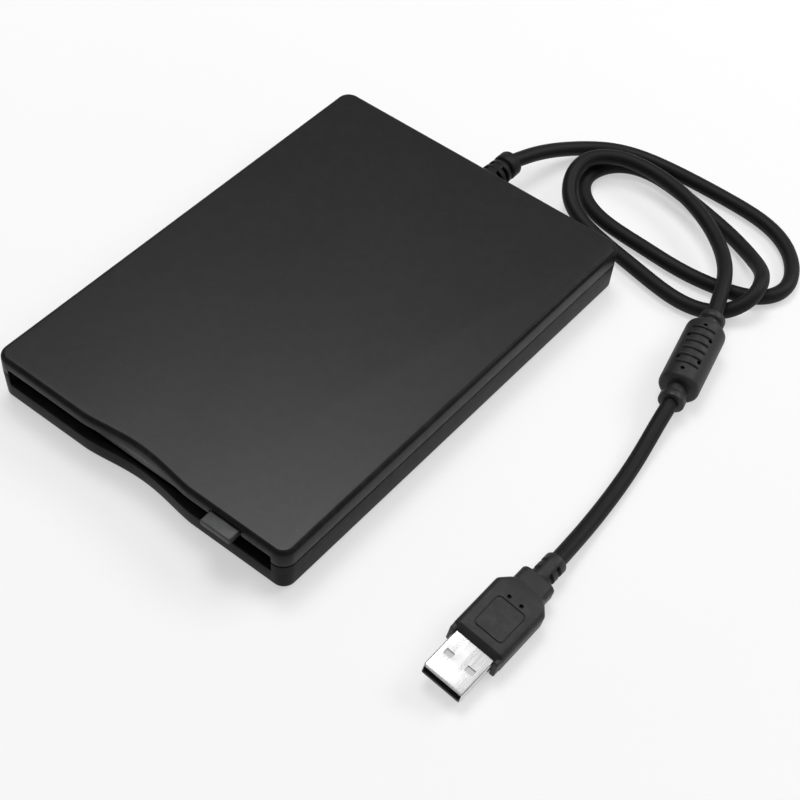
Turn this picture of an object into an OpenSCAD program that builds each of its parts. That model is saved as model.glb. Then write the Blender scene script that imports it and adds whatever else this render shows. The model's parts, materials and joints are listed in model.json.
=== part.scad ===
// Slim external drive for 3.5-inch floppy disks with a captive USB cord.
// X runs across, Y from the front to the back, Z up. The floor is z = 0. Sizes are in millimetres.

/* [Disk] */
// width of the disk that the drive takes
disk_w = 90; // [86:0.5:96]
// depth of the disk from its trailing edge to its leading edge
disk_d = 94; // [90:0.5:100]
// thickness of the disk
disk_t = 3.3; // [3:0.1:4]
// how far the cage lowers the disk on to the spindle
cage_drop = 2; // [1.6:0.1:2.4]

/* [Case] */
// from the edge of the disk to the outside of the case
side_room = 6; // [5.6:0.1:9]
// depth of the case beyond the depth of the disk
rear_room = 50; // [48:0.5:60]
// from the eject slide to the ceiling of the case
top_room = 1.3; // [1.2:0.1:3]
// wall thickness of the two shells
wall = 1.4; // [1.2:0.05:1.8]
// wall thickness at the front
front_wall = 2.5; // [2.3:0.1:3.2]
// radius of the upright corners
corner_r = 4; // [3:0.25:6]
// radius of the top edge
edge_r = 1.5; // [1:0.1:2.2]
// radius of the bottom edge
edge_b = 1; // [0.6:0.1:1.4]
// lean of each side inward at the underside
draft = 0.4; // [0.2:0.1:0.8]
// height of the lower shell up to the parting line
shell_h = 9.2; // [8.8:0.1:9.6]
// how far the rubber feet stand out
foot_h = 1; // [0.6:0.1:2]
// radius of a rubber foot
foot_r = 4; // [3:0.25:5]

/* [Front] */
// width of the disk slot
slot_w = 92.6; // [91:0.2:96]
// width of the finger scoop
scoop_w = 38; // [30:1:44]
// depth of the finger scoop
scoop_d = 1.9; // [1.2:0.1:2]
// width of the dust flap
flap_w = 70.2; // [66:0.2:71]

/* [Eject button] */
// width of the button
button_w = 9.8; // [8:0.2:10.2]
// thickness of the button
button_t = 1.9; // [1.6:0.1:2]
// how far the button stands out of the front
button_out = 3.8; // [2.6:0.1:4]
// position of the button to the right of the middle
button_x = 31.3; // [31:0.1:34]
// travel of the button and the slide
eject_travel = 4.5; // [4:0.1:4.8]

/* [Heads and spindle] */
// radius of the rotor of the spindle motor
rotor_r = 19; // [17:0.25:19.5]
// radius of the spindle shaft
shaft_r = 2; // [1.8:0.05:2.2]
// travel of the head carriage
head_travel = 14.8; // [13:0.1:15]
// radius of the guide rod
rod_r = 1.5; // [1.2:0.05:1.8]
// radius of the lead screw
screw_r = 1.25; // [1:0.05:1.5]
// radius of the stepper motor
stepper_r = 4.5; // [4:0.1:4.5]

/* [Cord and plug] */
// diameter of the cord
cord_d = 4.5; // [3.5:0.1:4.6]
// position of the cord to the right of the middle
cord_x = 3; // [0:0.5:5]
// radius of the moulded bead
bead_r = 5.8; // [5:0.05:5.8]
// width of the plug body
plug_w = 15.4; // [14.6:0.1:16]
// height of the plug body
plug_h = 8; // [7.4:0.1:8]

/* [Hidden] */
$fn = 48;
sheet = 0.5;
// share of the scoop that the inner face of the front follows
bow = 0.12;
case_w = disk_w + 2 * side_room;
case_d = disk_d + rear_room;
front_y = button_out - (case_d + button_out) / 2;
back_y = front_y + case_d;
// levels
floor_z = foot_h + wall;
base_z = floor_z + 0.6;
deck_z = base_z + 0.8;
hub_z = deck_z + 2.5;
disk_z = hub_z + cage_drop;
cage_z = disk_z + disk_t + 0.4;
slide_z = cage_z + sheet + 0.3;
ceil_z = slide_z + sheet + top_room;
top_z = ceil_z + wall;
split_z = foot_h + shell_h;
slot_z0 = disk_z - 1.7;
slot_z1 = cage_z + 0.3;
// places along the depth
disk_y = front_y + 7;
spin_y = disk_y + disk_d / 2;
head_y = spin_y + 39.5;
rear_y = disk_y + disk_d;
post_y = rear_y + head_travel + 4.2;
hinge_y = post_y + 5;
board_y0 = post_y + 11.2;
board_y1 = back_y - wall - 1.6;
// places across the width
half = disk_w / 2;
inner_x = case_w / 2 - wall;
cage_x = half + 0.3;
flange_x = cage_x + sheet + 0.3;
frame_x = flange_x + sheet + 0.3;
pin_ys = [front_y + 32, rear_y - 9];
pin_z = cage_z - 1.4;
// dust flap and button
flap_y = front_y + front_wall + 1.3;
flap_z = ceil_z - 1.25;
// disk width that the width of the flap is given for
disk_std = 90;
flap_x1 = button_x - button_w / 2 - 1.8;
flap_x0 = flap_x1 - flap_w - (disk_w - disk_std) / 2;
button_z = slide_z - 0.5;
// head arm and lead screw
arm_z = cage_z + 0.2;
lead_x = 15;
lead_z = deck_z + 4.6;
rod_x = -11.5;
rod_z = deck_z + 4.2;
// latch lever
latch_p = [11 - half, rear_y - 5];
latch_l = 21;
screw_ps = [for (s = [-1, 1], y = [front_y + 20, post_y + 2]) [s * (half - 5), y]];
foot_ps = [for (s = [-1, 1], y = [front_y + 10, back_y - 10]) [s * (half - 3), y]];
switch_ps = [[9 - half, front_y + 28], [half - 9, front_y + 28], [half - 9, rear_y - 9]];
// cord
relief_l = 12.2;
// inner face of the back wall, at its lowest
back_in = wall + draft;
relief_end = [cord_x, back_y + relief_l, split_z];
bead_a = [82.6, 74.5, 7.3];
bead_b = [90.3, 41.7, 5.55];
bead_l = norm(bead_b - bead_a);
// length of the neck and collar at each end of the bead
bead_neck = 5.2;
// the plug lies on the floor, turned about its own length
plug_x = 97.5;
plug_y = -53.6;
plug_r = 2;
plug_roll = 10;
plug_z = (plug_w / 2 - plug_r) * sin(plug_roll) + (plug_h / 2 - plug_r) * cos(plug_roll) + plug_r + 0.02;
// metal shell of the plug: size by standard, front end and where the overmould begins
shell_w = 12;
shell_t = 4.5;
shell_y0 = plug_y - 13.5;
shell_y1 = plug_y - 1.1;
lead_end = [plug_x, plug_y + 33.2, plug_z];
// points that the cord passes through, from the strain relief to the bead
cord_route = concat([relief_end],
    [[4.6, 92.8, 9.2], [6.9, 101.5, 6.9], [11.7, 111.7, 3.9], [18.8, 119, 2.5], [29.2, 122.5, 2.4],
    [43.1, 123.5, 2.4], [57, 123.5, 2.4], [70, 122.5, 2.4], [80.1, 118.5, 2.4], [87.3, 111.3, 2.4],
    [90.2, 102.4, 2.4], [86.5, 95, 2.4], [78, 90.9, 2.4], [64.1, 88.8, 2.4], [50, 89.7, 2.4],
    [37.1, 90.6, 2.4], [26.9, 93.9, 2.4], [20.4, 100.9, 2.4], [20.6, 109.3, 2.4], [26.5, 116.1, 2.4],
    [37.1, 117.8, 2.4], [50.9, 115.1, 2.4], [66, 111, 2.6], [78, 104.6, 4.2], [84.8, 96.9, 7.7],
    [86.2, 88, 6.4], [80, 81, 2.7], [68, 78.2, 2.4], [51.9, 81.2, 2.4], [36, 84.5, 2.4],
    [23.9, 88.9, 4], [18.5, 96.4, 7], [18.3, 105.2, 8], [25.4, 111.7, 8], [36.4, 113.1, 7.9],
    [50, 110.6, 7.8], [61.9, 104.8, 7.6], [70.8, 97.6, 7.8], [76.4, 90, 8.6], [79.7, 82.5, 8.4], bead_a]);
// points that the cord passes through, from the bead to the plug
lead_route = [bead_b, [91.5, 33.5, 4.4], [93.4, 22, 2.6], [95, 10, 2.4], [96.1, -2.2, 2.5],
    [96.9, -12.4, 3.7], lead_end];

// Box between two corners.
module span(a, b) {
    translate(a) cube(b - a);
}

// Round rod along X, Y or Z between two stations.
module rod_x_axis(y, z, x0, x1, r) {
    translate([x0, y, z]) rotate([0, 90, 0]) cylinder(h = x1 - x0, r = r);
}

module rod_y_axis(x, z, y0, y1, r) {
    translate([x, y0, z]) rotate([-90, 0, 0]) cylinder(h = y1 - y0, r = r);
}

module rod_z_axis(x, y, z0, z1, r) {
    translate([x, y, z0]) cylinder(h = z1 - z0, r = r);
}

// Skin over rings of points, each ring anticlockwise seen from the end it grows toward. Each end is
// closed by triangles around its middle.
function middle(r) = [for (c = [0:2]) (min([for (p = r) p[c]]) + max([for (p = r) p[c]])) / 2];
module loft(rings) {
    n = len(rings[0]);
    m = len(rings);
    sides = [for (k = [0:m - 2], i = [0:n - 1]) let (j = (i + 1) % n)
        each [[k * n + i, (k + 1) * n + i, (k + 1) * n + j], [k * n + i, (k + 1) * n + j, k * n + j]]];
    caps = [for (i = [0:n - 1]) let (j = (i + 1) % n)
        each [[m * n, i, j], [m * n + 1, (m - 1) * n + j, (m - 1) * n + i]]];
    polyhedron(points = concat([for (r = rings) each r], [middle(rings[0]), middle(rings[m - 1])]),
        faces = concat(sides, caps), convexity = 10);
}

// Tube along a row of points; d0 and d1 square its two ends to what it meets.
function unit(v) = v / norm(v);
function heading(p, k) = k == 0 ? p[1] - p[0] : k == len(p) - 1 ? p[k] - p[k - 1] : p[k + 1] - p[k - 1];
function hoop(c, t, up, r, n) = let (a = unit(cross(t, up)), b = cross(t, a))
    [for (i = [0:n - 1]) c + r * (cos(360 * i / n) * a + sin(360 * i / n) * b)];
function tube(p, r, n, up, d0, d1) = [for (k = [0:len(p) - 1])
    hoop(p[k], unit(k == 0 ? d0 : k == len(p) - 1 ? d1 : heading(p, k)), up, r, n)];

// Smooth curve through the points of a route, n steps between two points.
function ends(p) = concat([2 * p[0] - p[1]], p, [2 * p[len(p) - 1] - p[len(p) - 2]]);
function inner(e) = [for (i = [1:len(e) - 2]) e[i] + (2 * e[i] - e[i - 1] - e[i + 1]) / 6];
function knots(q) = let (m = len(q) - 1) concat([2 * q[0] - q[1]], q, [2 * q[m] - q[m - 1]]);
function blend(q, i, t) = (pow(1 - t, 3) * q[i - 1] + (3 * pow(t, 3) - 6 * t * t + 4) * q[i]
    + (3 * t * t + 3 * t + 1 - 3 * pow(t, 3)) * q[i + 1] + pow(t, 3) * q[i + 2]) / 6;
function curve(p, n) = let (q = knots(inner(ends(p))), last = len(q) - 3)
    concat([for (i = [1:last], k = [0:n - 1]) blend(q, i, k / n)], [blend(q, last, 1)]);

// Outline of the case at an inset, with the finger scoop at the front.
function scoop(x) = scoop_d * pow(max(0, cos(180 * x / scoop_w)), 1.5);
function arc(cx, cy, r, a0) = [for (k = [0:6]) [cx + r * cos(a0 + 15 * k), cy + r * sin(a0 + 15 * k)]];
function outline(i, fy, s) = let (x = case_w / 2 - i, y = back_y - i, r = max(corner_r - i, 0.8))
    concat([for (k = [0:20]) let (u = scoop_w * (k / 20 - 0.5)) [u, fy + s * scoop(u)]],
        arc(x - r, fy + r, r, -90), arc(x - r, y - r, r, 0), arc(r - x, y - r, r, 90), arc(r - x, fy + r, r, 180));
function level(i, fy, s, z) = [for (p = outline(i, fy, s)) [p.x, p.y, z]];
function skin(i, z) = level(i, front_y + i, 1, z);

// Slot that runs down a ramp in a sheet that stands along Y.
module ramp(y, z, x0, x1, r) {
    slope = atan2(-cage_drop, eject_travel);
    run = norm([cage_drop, eject_travel]);
    translate([x0, y, z]) rotate([slope, 0, 0]) {
        translate([0, -0.8, -r]) cube([x1 - x0, run + 1.1, 2 * r]);
        translate([0, -0.8, 0]) rotate([0, 90, 0]) cylinder(h = x1 - x0, r = r);
        translate([0, run + 0.3, 0]) rotate([0, 90, 0]) cylinder(h = x1 - x0, r = r);
    }
}

// Places a piece that stands along Z so that it runs from a to b.
module along(a, b) {
    d = b - a;
    translate(a) rotate([0, acos(d.z / norm(d)), atan2(d.y, d.x)]) children();
}

module top_cover() color([0.12, 0.12, 0.13]) {
    fy = front_y + front_wall;
    difference() {
        union() {
            loft(concat(
                [level(wall, fy, bow, ceil_z), level(wall, fy, bow, split_z), skin(0.25, split_z),
                    skin(0, split_z + 0.3), skin(0, top_z - edge_r)],
                [for (a = [18:18:90]) skin(edge_r * (1 - cos(a)), top_z - edge_r + edge_r * sin(a))]));
            for (s = [0, 1]) mirror([s, 0, 0]) for (y = [-40, 0, 40]) {
                span([inner_x - 1.4, y - 4, split_z - 4], [inner_x - 0.6, y + 4, split_z + 3]);
                span([inner_x - 1.4, y - 4, split_z + 1], [inner_x + 0.6, y + 4, split_z + 3]);
            }
            span([flap_x0 - 1.3, fy - 0.4, slot_z1 + 0.1], [flap_x0 - 0.3, flap_y + 1.3, ceil_z + 0.4]);
            span([flap_x1 + 0.3, fy - 0.4, slot_z1 + 0.1], [flap_x1 + 1.1, flap_y + 1.3, ceil_z + 0.4]);
        }
        span([-slot_w / 2, front_y - 1, slot_z0], [slot_w / 2, fy + 0.3, slot_z1]);
        span([button_x - button_w / 2 - 0.3, front_y - 1, button_z - 0.5],
            [button_x + button_w / 2 + 0.3, fy + 0.3, button_z + button_t + 0.3]);
        rod_x_axis(flap_y, flap_z, flap_x0 - 2, flap_x1 + 2, 0.76);
        rod_y_axis(cord_x, split_z, back_y - wall - 1, back_y + 1, 3.4);
    }
}

module bottom_shell() color([0.13, 0.13, 0.14]) {
    fy = front_y + front_wall;
    difference() {
        union() {
            loft(concat(
                [for (a = [0:22.5:90]) skin(draft + edge_b * (1 - sin(a)), foot_h + edge_b * (1 - cos(a)))],
                [skin(0, split_z - 0.3), skin(0.25, split_z), level(wall, fy, bow, split_z),
                    level(wall + draft, fy + draft, bow, floor_z)]));
            for (p = screw_ps) rod_z_axis(p.x, p.y, floor_z - 0.4, base_z, 3.2);
            for (x = [-31, -12]) rod_z_axis(x, (board_y0 + board_y1) / 2, floor_z - 0.4, deck_z + 0.6, 1.8);
        }
        span([-slot_w / 2, front_y - 1, slot_z0], [slot_w / 2, fy + 0.6, slot_z1]);
        for (p = screw_ps) {
            rod_z_axis(p.x, p.y, foot_h - 1, base_z + 1, 1.45);
            rod_z_axis(p.x, p.y, foot_h - 1, foot_h + 0.9, 2.6);
        }
        for (p = foot_ps) rod_z_axis(p.x, p.y, foot_h - 1, foot_h + 0.4, foot_r + 0.05);
        rod_y_axis(cord_x, split_z, back_y - wall - 1, back_y + 1, 3.4);
    }
}

module rubber_feet() color([0.2, 0.2, 0.2]) {
    for (p = foot_ps) translate([p.x, p.y, 0]) {
        cylinder(h = 0.4, r1 = foot_r - 0.4, r2 = foot_r);
        translate([0, 0, 0.4]) cylinder(h = foot_h, r = foot_r);
    }
}

module case_screws() color([0.62, 0.62, 0.64]) {
    for (p = screw_ps) difference() {
        union() {
            rod_z_axis(p.x, p.y, foot_h + 0.2, foot_h + 0.9, 2.3);
            rod_z_axis(p.x, p.y, foot_h + 0.9, deck_z + 0.4, 1.2);
        }
        span([p.x - 1.4, p.y - 0.25, foot_h], [p.x + 1.4, p.y + 0.25, foot_h + 0.55]);
        span([p.x - 0.25, p.y - 1.4, foot_h], [p.x + 0.25, p.y + 1.4, foot_h + 0.55]);
    }
}

module dust_flap() color([0.16, 0.16, 0.17]) {
    rod_x_axis(flap_y, flap_z, flap_x0 - 1.3, flap_x1 + 1.1, 0.7);
    rod_x_axis(flap_y, flap_z, flap_x0 + 4, flap_x1, 0.9);
    span([flap_x0 + 4, flap_y - 0.7, disk_z - 0.9], [flap_x1, flap_y + 0.1, flap_z]);
    span([flap_x0, flap_y - 0.7, disk_z - 0.9], [flap_x0 + 4.2, flap_y + 0.1, flap_z - 1.5]);
}

module flap_spring() color([0.7, 0.7, 0.72]) {
    turns = 4;
    p = [for (k = [0:turns * 12]) [flap_x0 + 0.4 + 3.2 * k / (turns * 12),
        flap_y + 1.02 * sin(30 * k), flap_z + 1.02 * cos(30 * k)]];
    loft(tube(p, 0.14, 6, [1, 0, 0], p[1] - p[0], p[turns * 12] - p[turns * 12 - 1]));
}

module chassis_frame() color([0.66, 0.67, 0.68]) {
    difference() {
        union() {
            span([-frame_x - 0.6, front_y + 12, base_z], [frame_x + 0.6, post_y + 10.5, deck_z]);
            for (s = [0, 1]) mirror([s, 0, 0]) {
                span([frame_x, front_y + 17, base_z], [frame_x + 0.6, rear_y + 1, cage_z]);
                span([half - 2.4, spin_y + 2, deck_z - 0.2], [half - 0.4, spin_y + 2.6, deck_z + 1.7]);
            }
            for (x = [2 - half, -19], y = [rear_y + 7, post_y + 7]) rod_z_axis(x, y, deck_z - 0.2, deck_z + 0.8, 1.5);
            for (y = [rear_y + 2.2, post_y + 9])
                span([rod_x - 2.6, y, deck_z - 0.2], [rod_x + 2.6, y + 1.4, rod_z + rod_r + 1]);
        }
        for (s = [0, 1], y = pin_ys) mirror([s, 0, 0])
            span([frame_x - 0.2, y - 0.95, pin_z - cage_drop - 1.1], [frame_x + 0.8, y + 0.95, pin_z + 1.2]);
        rod_z_axis(0, spin_y, base_z - 1, deck_z + 1, shaft_r + 1.5);
        for (p = screw_ps) rod_z_axis(p.x, p.y, base_z - 1, deck_z + 1, 1.25);
        rod_y_axis(rod_x, rod_z, rear_y + 2, post_y + 11, rod_r);
    }
}

module disk_cage() color([0.74, 0.75, 0.76]) {
    y0 = front_y + 11;
    y1 = rear_y + 1.5;
    difference() {
        union() {
            span([-cage_x - sheet, y0, cage_z], [cage_x + sheet, y1, cage_z + sheet]);
            for (s = [0, 1]) mirror([s, 0, 0]) {
                span([cage_x, y0, disk_z - sheet], [cage_x + sheet, y1, cage_z + sheet]);
                span([half - 3.7, y0, disk_z - sheet], [cage_x + sheet, y1, disk_z]);
            }
        }
        span([latch_p.x + 14, spin_y + 17, cage_z - 1], [14, y1 + 1, cage_z + 1]);
        rod_z_axis(latch_p.x, latch_p.y, cage_z - 1, cage_z + 1, 1.2);
        for (s = [-1, 1]) rod_z_axis(s * 26, spin_y - 12, cage_z - 1, cage_z + 1, 6);
        for (s = [0, 1], y = pin_ys) mirror([s, 0, 0]) rod_x_axis(y, pin_z, cage_x - 1, cage_x + 1, 0.8);
    }
}

module cage_pins() color([0.7, 0.7, 0.72]) {
    for (s = [0, 1], y = pin_ys) mirror([s, 0, 0]) rod_x_axis(y, pin_z, cage_x, frame_x + 0.6, 0.8);
}

module eject_slide() color([0.7, 0.71, 0.73]) {
    y0 = front_y + 16;
    y1 = rear_y - 1;
    difference() {
        union() {
            span([-flange_x - sheet, y0, slide_z], [flange_x + sheet, spin_y + 8, slide_z + sheet]);
            span([button_x - 3.2, front_y + 0.6, slide_z], [button_x + 3.2, y0 + 1, slide_z + sheet]);
            for (s = [0, 1]) mirror([s, 0, 0]) {
                span([half - 5.5, y0 + 6, slide_z], [flange_x + sheet, y1, slide_z + sheet]);
                span([flange_x, y0 + 6, hub_z + 0.3], [flange_x + sheet, y1, slide_z + sheet]);
                span([flange_x, rear_y - 15.4, deck_z + 0.5], [flange_x + sheet, rear_y - 14, hub_z + 1]);
                span([half - 2.4, rear_y - 15, deck_z + 0.5], [flange_x + sheet, rear_y - 14.4, deck_z + 1.5]);
            }
        }
        for (s = [0, 1], y = pin_ys) mirror([s, 0, 0]) ramp(y, pin_z, flange_x - 0.3, flange_x + sheet + 0.3, 1);
        for (s = [-1, 1]) rod_z_axis(s * 26, spin_y - 12, slide_z - 1, slide_z + 1, 7.5);
    }
}

module eject_button() color([0.55, 0.56, 0.58]) {
    x0 = button_x - button_w / 2;
    x1 = button_x + button_w / 2;
    r = 0.6;
    difference() {
        union() {
            span([x0, front_y - button_out, button_z], [x1, front_y + 2.6, button_z + button_t - r]);
            span([x0, front_y - button_out + r, button_z], [x1, front_y + 2.6, button_z + button_t]);
            rod_x_axis(front_y - button_out + r, button_z + button_t - r, x0, x1, r);
        }
        span([button_x - 3.25, front_y + 0.6, slide_z - 0.03], [button_x + 3.25, front_y + 3, slide_z + sheet + 0.03]);
    }
}

module eject_springs() color([0.72, 0.72, 0.74]) {
    turns = 12;
    y0 = spin_y + 2.75;
    y1 = rear_y - 15.15;
    for (s = [-1, 1]) {
        p = [for (k = [0:turns * 8]) [s * (half - 1.4) + 0.6 * cos(45 * k),
            y0 + (y1 - y0) * k / (turns * 8), deck_z + 0.95 + 0.6 * sin(45 * k)]];
        loft(tube(p, 0.13, 5, [0, 1, 0], p[1] - p[0], p[turns * 8] - p[turns * 8 - 1]));
    }
}

module latch_lever() color([0.64, 0.65, 0.67]) {
    z0 = cage_z + sheet + 0.1;
    translate([latch_p.x, latch_p.y, z0]) rotate([0, 0, -40]) difference() {
        union() {
            cylinder(h = 0.5, r = 3);
            translate([0, -2, 0]) cube([latch_l, 4, 0.5]);
            translate([latch_l, 0, 0]) cylinder(h = 0.5, r = 2);
            translate([latch_l, 0, -3]) cylinder(h = 3.2, r = 1);
        }
        translate([0, 0, -1]) cylinder(h = 2, r = 1.26);
    }
}

module latch_pivot() color([0.7, 0.7, 0.72]) {
    z0 = cage_z + sheet;
    rod_z_axis(latch_p.x, latch_p.y, cage_z, z0 + 0.9, 1.2);
    rod_z_axis(latch_p.x, latch_p.y, z0 + 0.65, z0 + 1, 1.9);
}

module spindle_rotor() color([0.72, 0.73, 0.75]) {
    difference() {
        rod_z_axis(0, spin_y, deck_z + 0.9, hub_z - 0.3, rotor_r);
        rod_z_axis(0, spin_y, deck_z, hub_z - 0.8, rotor_r - 0.8);
        rod_z_axis(0, spin_y, deck_z, hub_z, shaft_r);
    }
}

module rotor_magnet() color([0.22, 0.22, 0.23]) {
    difference() {
        rod_z_axis(0, spin_y, deck_z + 0.9, hub_z - 0.8, rotor_r - 0.8);
        rod_z_axis(0, spin_y, deck_z, hub_z, rotor_r - 2.4);
    }
}

module spindle_hub() color([0.78, 0.78, 0.8]) {
    difference() {
        rod_z_axis(0, spin_y, hub_z - 0.3, hub_z, 12.5);
        rod_z_axis(0, spin_y, hub_z - 1, hub_z + 1, shaft_r);
        rod_z_axis(0, spin_y - 8, hub_z - 1, hub_z + 1, 1.9);
    }
}

module drive_pin() color([0.8, 0.8, 0.82]) {
    rod_z_axis(0, spin_y - 8, hub_z - 0.3, hub_z + 0.9, 1.4);
}

module spindle_shaft() color([0.8, 0.8, 0.82]) {
    rod_z_axis(0, spin_y, base_z + 0.2, hub_z + 1, shaft_r);
}

module spindle_bearing() color([0.72, 0.58, 0.32]) {
    difference() {
        union() {
            rod_z_axis(0, spin_y, base_z, deck_z + 1.4, shaft_r + 1.5);
            rod_z_axis(0, spin_y, deck_z + 0.6, deck_z + 0.8, shaft_r + 3);
        }
        rod_z_axis(0, spin_y, base_z - 1, deck_z + 2, shaft_r + 0.03);
    }
}

module stator_core() color([0.5, 0.5, 0.52]) {
    difference() {
        union() {
            rod_z_axis(0, spin_y, deck_z + 0.9, deck_z + 1.2, 8);
            for (k = [0:11]) translate([0, spin_y, deck_z + 0.9]) rotate([0, 0, 30 * k])
                translate([7, -1, 0]) cube([rotor_r - 10.2, 2, 0.3]);
        }
        rod_z_axis(0, spin_y, deck_z, deck_z + 2, shaft_r + 1.5);
    }
}

module stator_coils() color([0.72, 0.4, 0.2]) {
    for (k = [0:11]) translate([0, spin_y, deck_z + 0.65]) rotate([0, 0, 30 * k]) difference() {
        translate([9.5, -1.7, 0]) cube([4, 3.4, 0.8]);
        translate([9, -1, 0.25]) cube([5, 2, 0.3]);
    }
}

module motor_board() color([0.12, 0.32, 0.2]) {
    difference() {
        span([-22, spin_y - 24, deck_z], [22, spin_y + 19.5, deck_z + 0.6]);
        rod_z_axis(0, spin_y, deck_z - 1, deck_z + 1, shaft_r + 1.55);
    }
}

module head_carriage() color([0.2, 0.2, 0.22]) {
    difference() {
        union() {
            span([-5, head_y - 4, deck_z + 0.3], [5, head_y + 7, deck_z + 1.7]);
            span([-8, head_y + 5, deck_z + 0.3], [8, post_y + 8, deck_z + 1.9]);
            span([-8.4, post_y, deck_z + 0.3], [8.4, post_y + 8, arm_z - 1.4]);
            span([rod_x - 3, post_y, rod_z - rod_r - 1.2], [-8, post_y + 8, rod_z + rod_r + 1.2]);
            for (s = [0, 1]) mirror([s, 0, 0])
                span([5.4, hinge_y - 2, arm_z - 2], [8.4, hinge_y + 2, arm_z + 1.2]);
        }
        rod_y_axis(rod_x, rod_z, post_y - 1, post_y + 9, rod_r + 0.04);
        rod_x_axis(hinge_y, arm_z, -9, 9, 0.6);
        rod_x_axis(post_y + 1, lead_z, 7, 9, 0.5);
    }
}

module lower_head() color([0.85, 0.83, 0.78]) {
    span([-2.5, head_y - 2.5, deck_z + 1.7], [2.5, head_y + 2.5, hub_z + 1.2]);
}

module upper_head_arm() color([0.24, 0.24, 0.26]) {
    difference() {
        union() {
            rod_x_axis(hinge_y, arm_z, -5.1, 5.1, 1.2);
            span([-5, head_y - 4, arm_z + 0.4], [5, hinge_y, arm_z + 1.2]);
        }
        rod_x_axis(hinge_y, arm_z, -6, 6, 0.66);
        span([-2, head_y + 8, arm_z], [2, hinge_y - 6, arm_z + 2]);
    }
}

module upper_head() color([0.85, 0.83, 0.78]) {
    span([-2.5, head_y - 2.5, arm_z - 0.4], [2.5, head_y + 2.5, arm_z + 0.4]);
}

module arm_pin() color([0.75, 0.75, 0.77]) {
    rod_x_axis(hinge_y, arm_z, -8.4, 8.4, 0.6);
}

module guide_rod() color([0.8, 0.8, 0.82]) {
    rod_y_axis(rod_x, rod_z, rear_y + 2, post_y + 10.6, rod_r);
}

module follower_pin() color([0.75, 0.75, 0.77]) {
    rod_x_axis(post_y + 1, lead_z, 7, lead_x - screw_r - 0.06, 0.5);
}

module lead_screw() color([0.7, 0.7, 0.72]) {
    rod_y_axis(lead_x, lead_z, rear_y + 2.2, post_y + 4, screw_r * 0.6);
    rod_y_axis(lead_x, lead_z, rear_y + 4.6, post_y + 2, screw_r);
}

module screw_bearing() color([0.72, 0.58, 0.32]) {
    difference() {
        union() {
            rod_y_axis(lead_x, lead_z, rear_y + 2.6, rear_y + 3.4, 1.6);
            rod_y_axis(lead_x, lead_z, rear_y + 3.4, rear_y + 4.2, 2.2);
        }
        rod_y_axis(lead_x, lead_z, rear_y + 2, rear_y + 5, screw_r * 0.6 + 0.04);
    }
}

module stepper_bracket() color([0.66, 0.67, 0.69]) {
    difference() {
        union() {
            span([lead_x - 5, rear_y + 2.6, deck_z], [lead_x + 5, post_y + 3.4, deck_z + 0.6]);
            for (y = [rear_y + 2.6, post_y + 2.6])
                span([lead_x - 5, y, deck_z], [lead_x + 5, y + 0.8, lead_z + 3.4]);
        }
        rod_y_axis(lead_x, lead_z, rear_y + 2, rear_y + 3.6, 1.6);
        rod_y_axis(lead_x, lead_z, post_y + 2, post_y + 4, 1.2);
    }
}

module stepper_motor() color([0.75, 0.75, 0.77]) {
    difference() {
        union() {
            rod_y_axis(lead_x, lead_z, post_y + 3.4, post_y + 15, stepper_r);
            rod_y_axis(lead_x, lead_z, post_y + 15, post_y + 15.6, 1.8);
        }
        rod_y_axis(lead_x, lead_z, post_y + 3, post_y + 4.4, screw_r * 0.6 + 0.04);
    }
}

module main_board() color([0.1, 0.34, 0.18]) {
    span([1 - half, rear_y + 4.5, deck_z + 0.8], [-15.5, post_y + 9, deck_z + 1.6]);
}

module board_chips() color([0.1, 0.1, 0.11]) {
    z = deck_z + 1.6;
    span([-36, rear_y + 9, z], [-26, rear_y + 19, z + 1.2]);
    span([-23, rear_y + 9, z], [-18, rear_y + 13, z + 1]);
    span([-31, post_y + 6.2, z], [-19, post_y + 8.7, z + 2]);
    for (k = [0:4]) span([-23 + k, rear_y + 17, z], [-22.5 + k, rear_y + 18.2, z + 0.4]);
}

module usb_board() color([0.1, 0.34, 0.18]) {
    span([-34, board_y0, deck_z + 0.6], [6, board_y1, deck_z + 1.4]);
}

module usb_chips() color([0.1, 0.1, 0.11]) {
    z = deck_z + 1.4;
    span([-31, board_y0 + 0.3, z], [-19, board_y0 + 2.8, z + 2.2]);
    span([-14, board_y0 + 1.5, z], [-8, board_y1 - 1.5, z + 1.2]);
    span([cord_x - 4, board_y1 - 3, z], [cord_x + 2.8, board_y1 - 0.4, z + 2]);
}

module ribbon_cable() color([0.8, 0.8, 0.78]) {
    span([-30, post_y + 8.7, deck_z + 2.7], [-20, board_y0 + 0.3, deck_z + 3]);
}

module sensor_switches() color([0.15, 0.15, 0.16]) {
    for (p = switch_ps) difference() {
        span([p.x - 2, p.y - 2, deck_z], [p.x + 2, p.y + 2, deck_z + 1.8]);
        rod_z_axis(p.x, p.y, deck_z + 0.2, deck_z + 2, 0.86);
    }
}

module switch_plungers() color([0.85, 0.85, 0.83]) {
    for (p = switch_ps) rod_z_axis(p.x, p.y, deck_z + 1.2, hub_z + 0.9, 0.8);
}

module inner_leads() color([0.75, 0.2, 0.15]) {
    for (k = [-1.5:1:1.5]) {
        x = cord_x + 1.4 * k;
        rod_z_axis(x, board_y1 - 1.7, deck_z + 3.4, split_z, 0.45);
        rod_y_axis(x, split_z, board_y1 - 1.7, back_y - back_in - 1.3, 0.45);
        translate([x, board_y1 - 1.7, split_z]) sphere(r = 0.45);
    }
}

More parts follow.
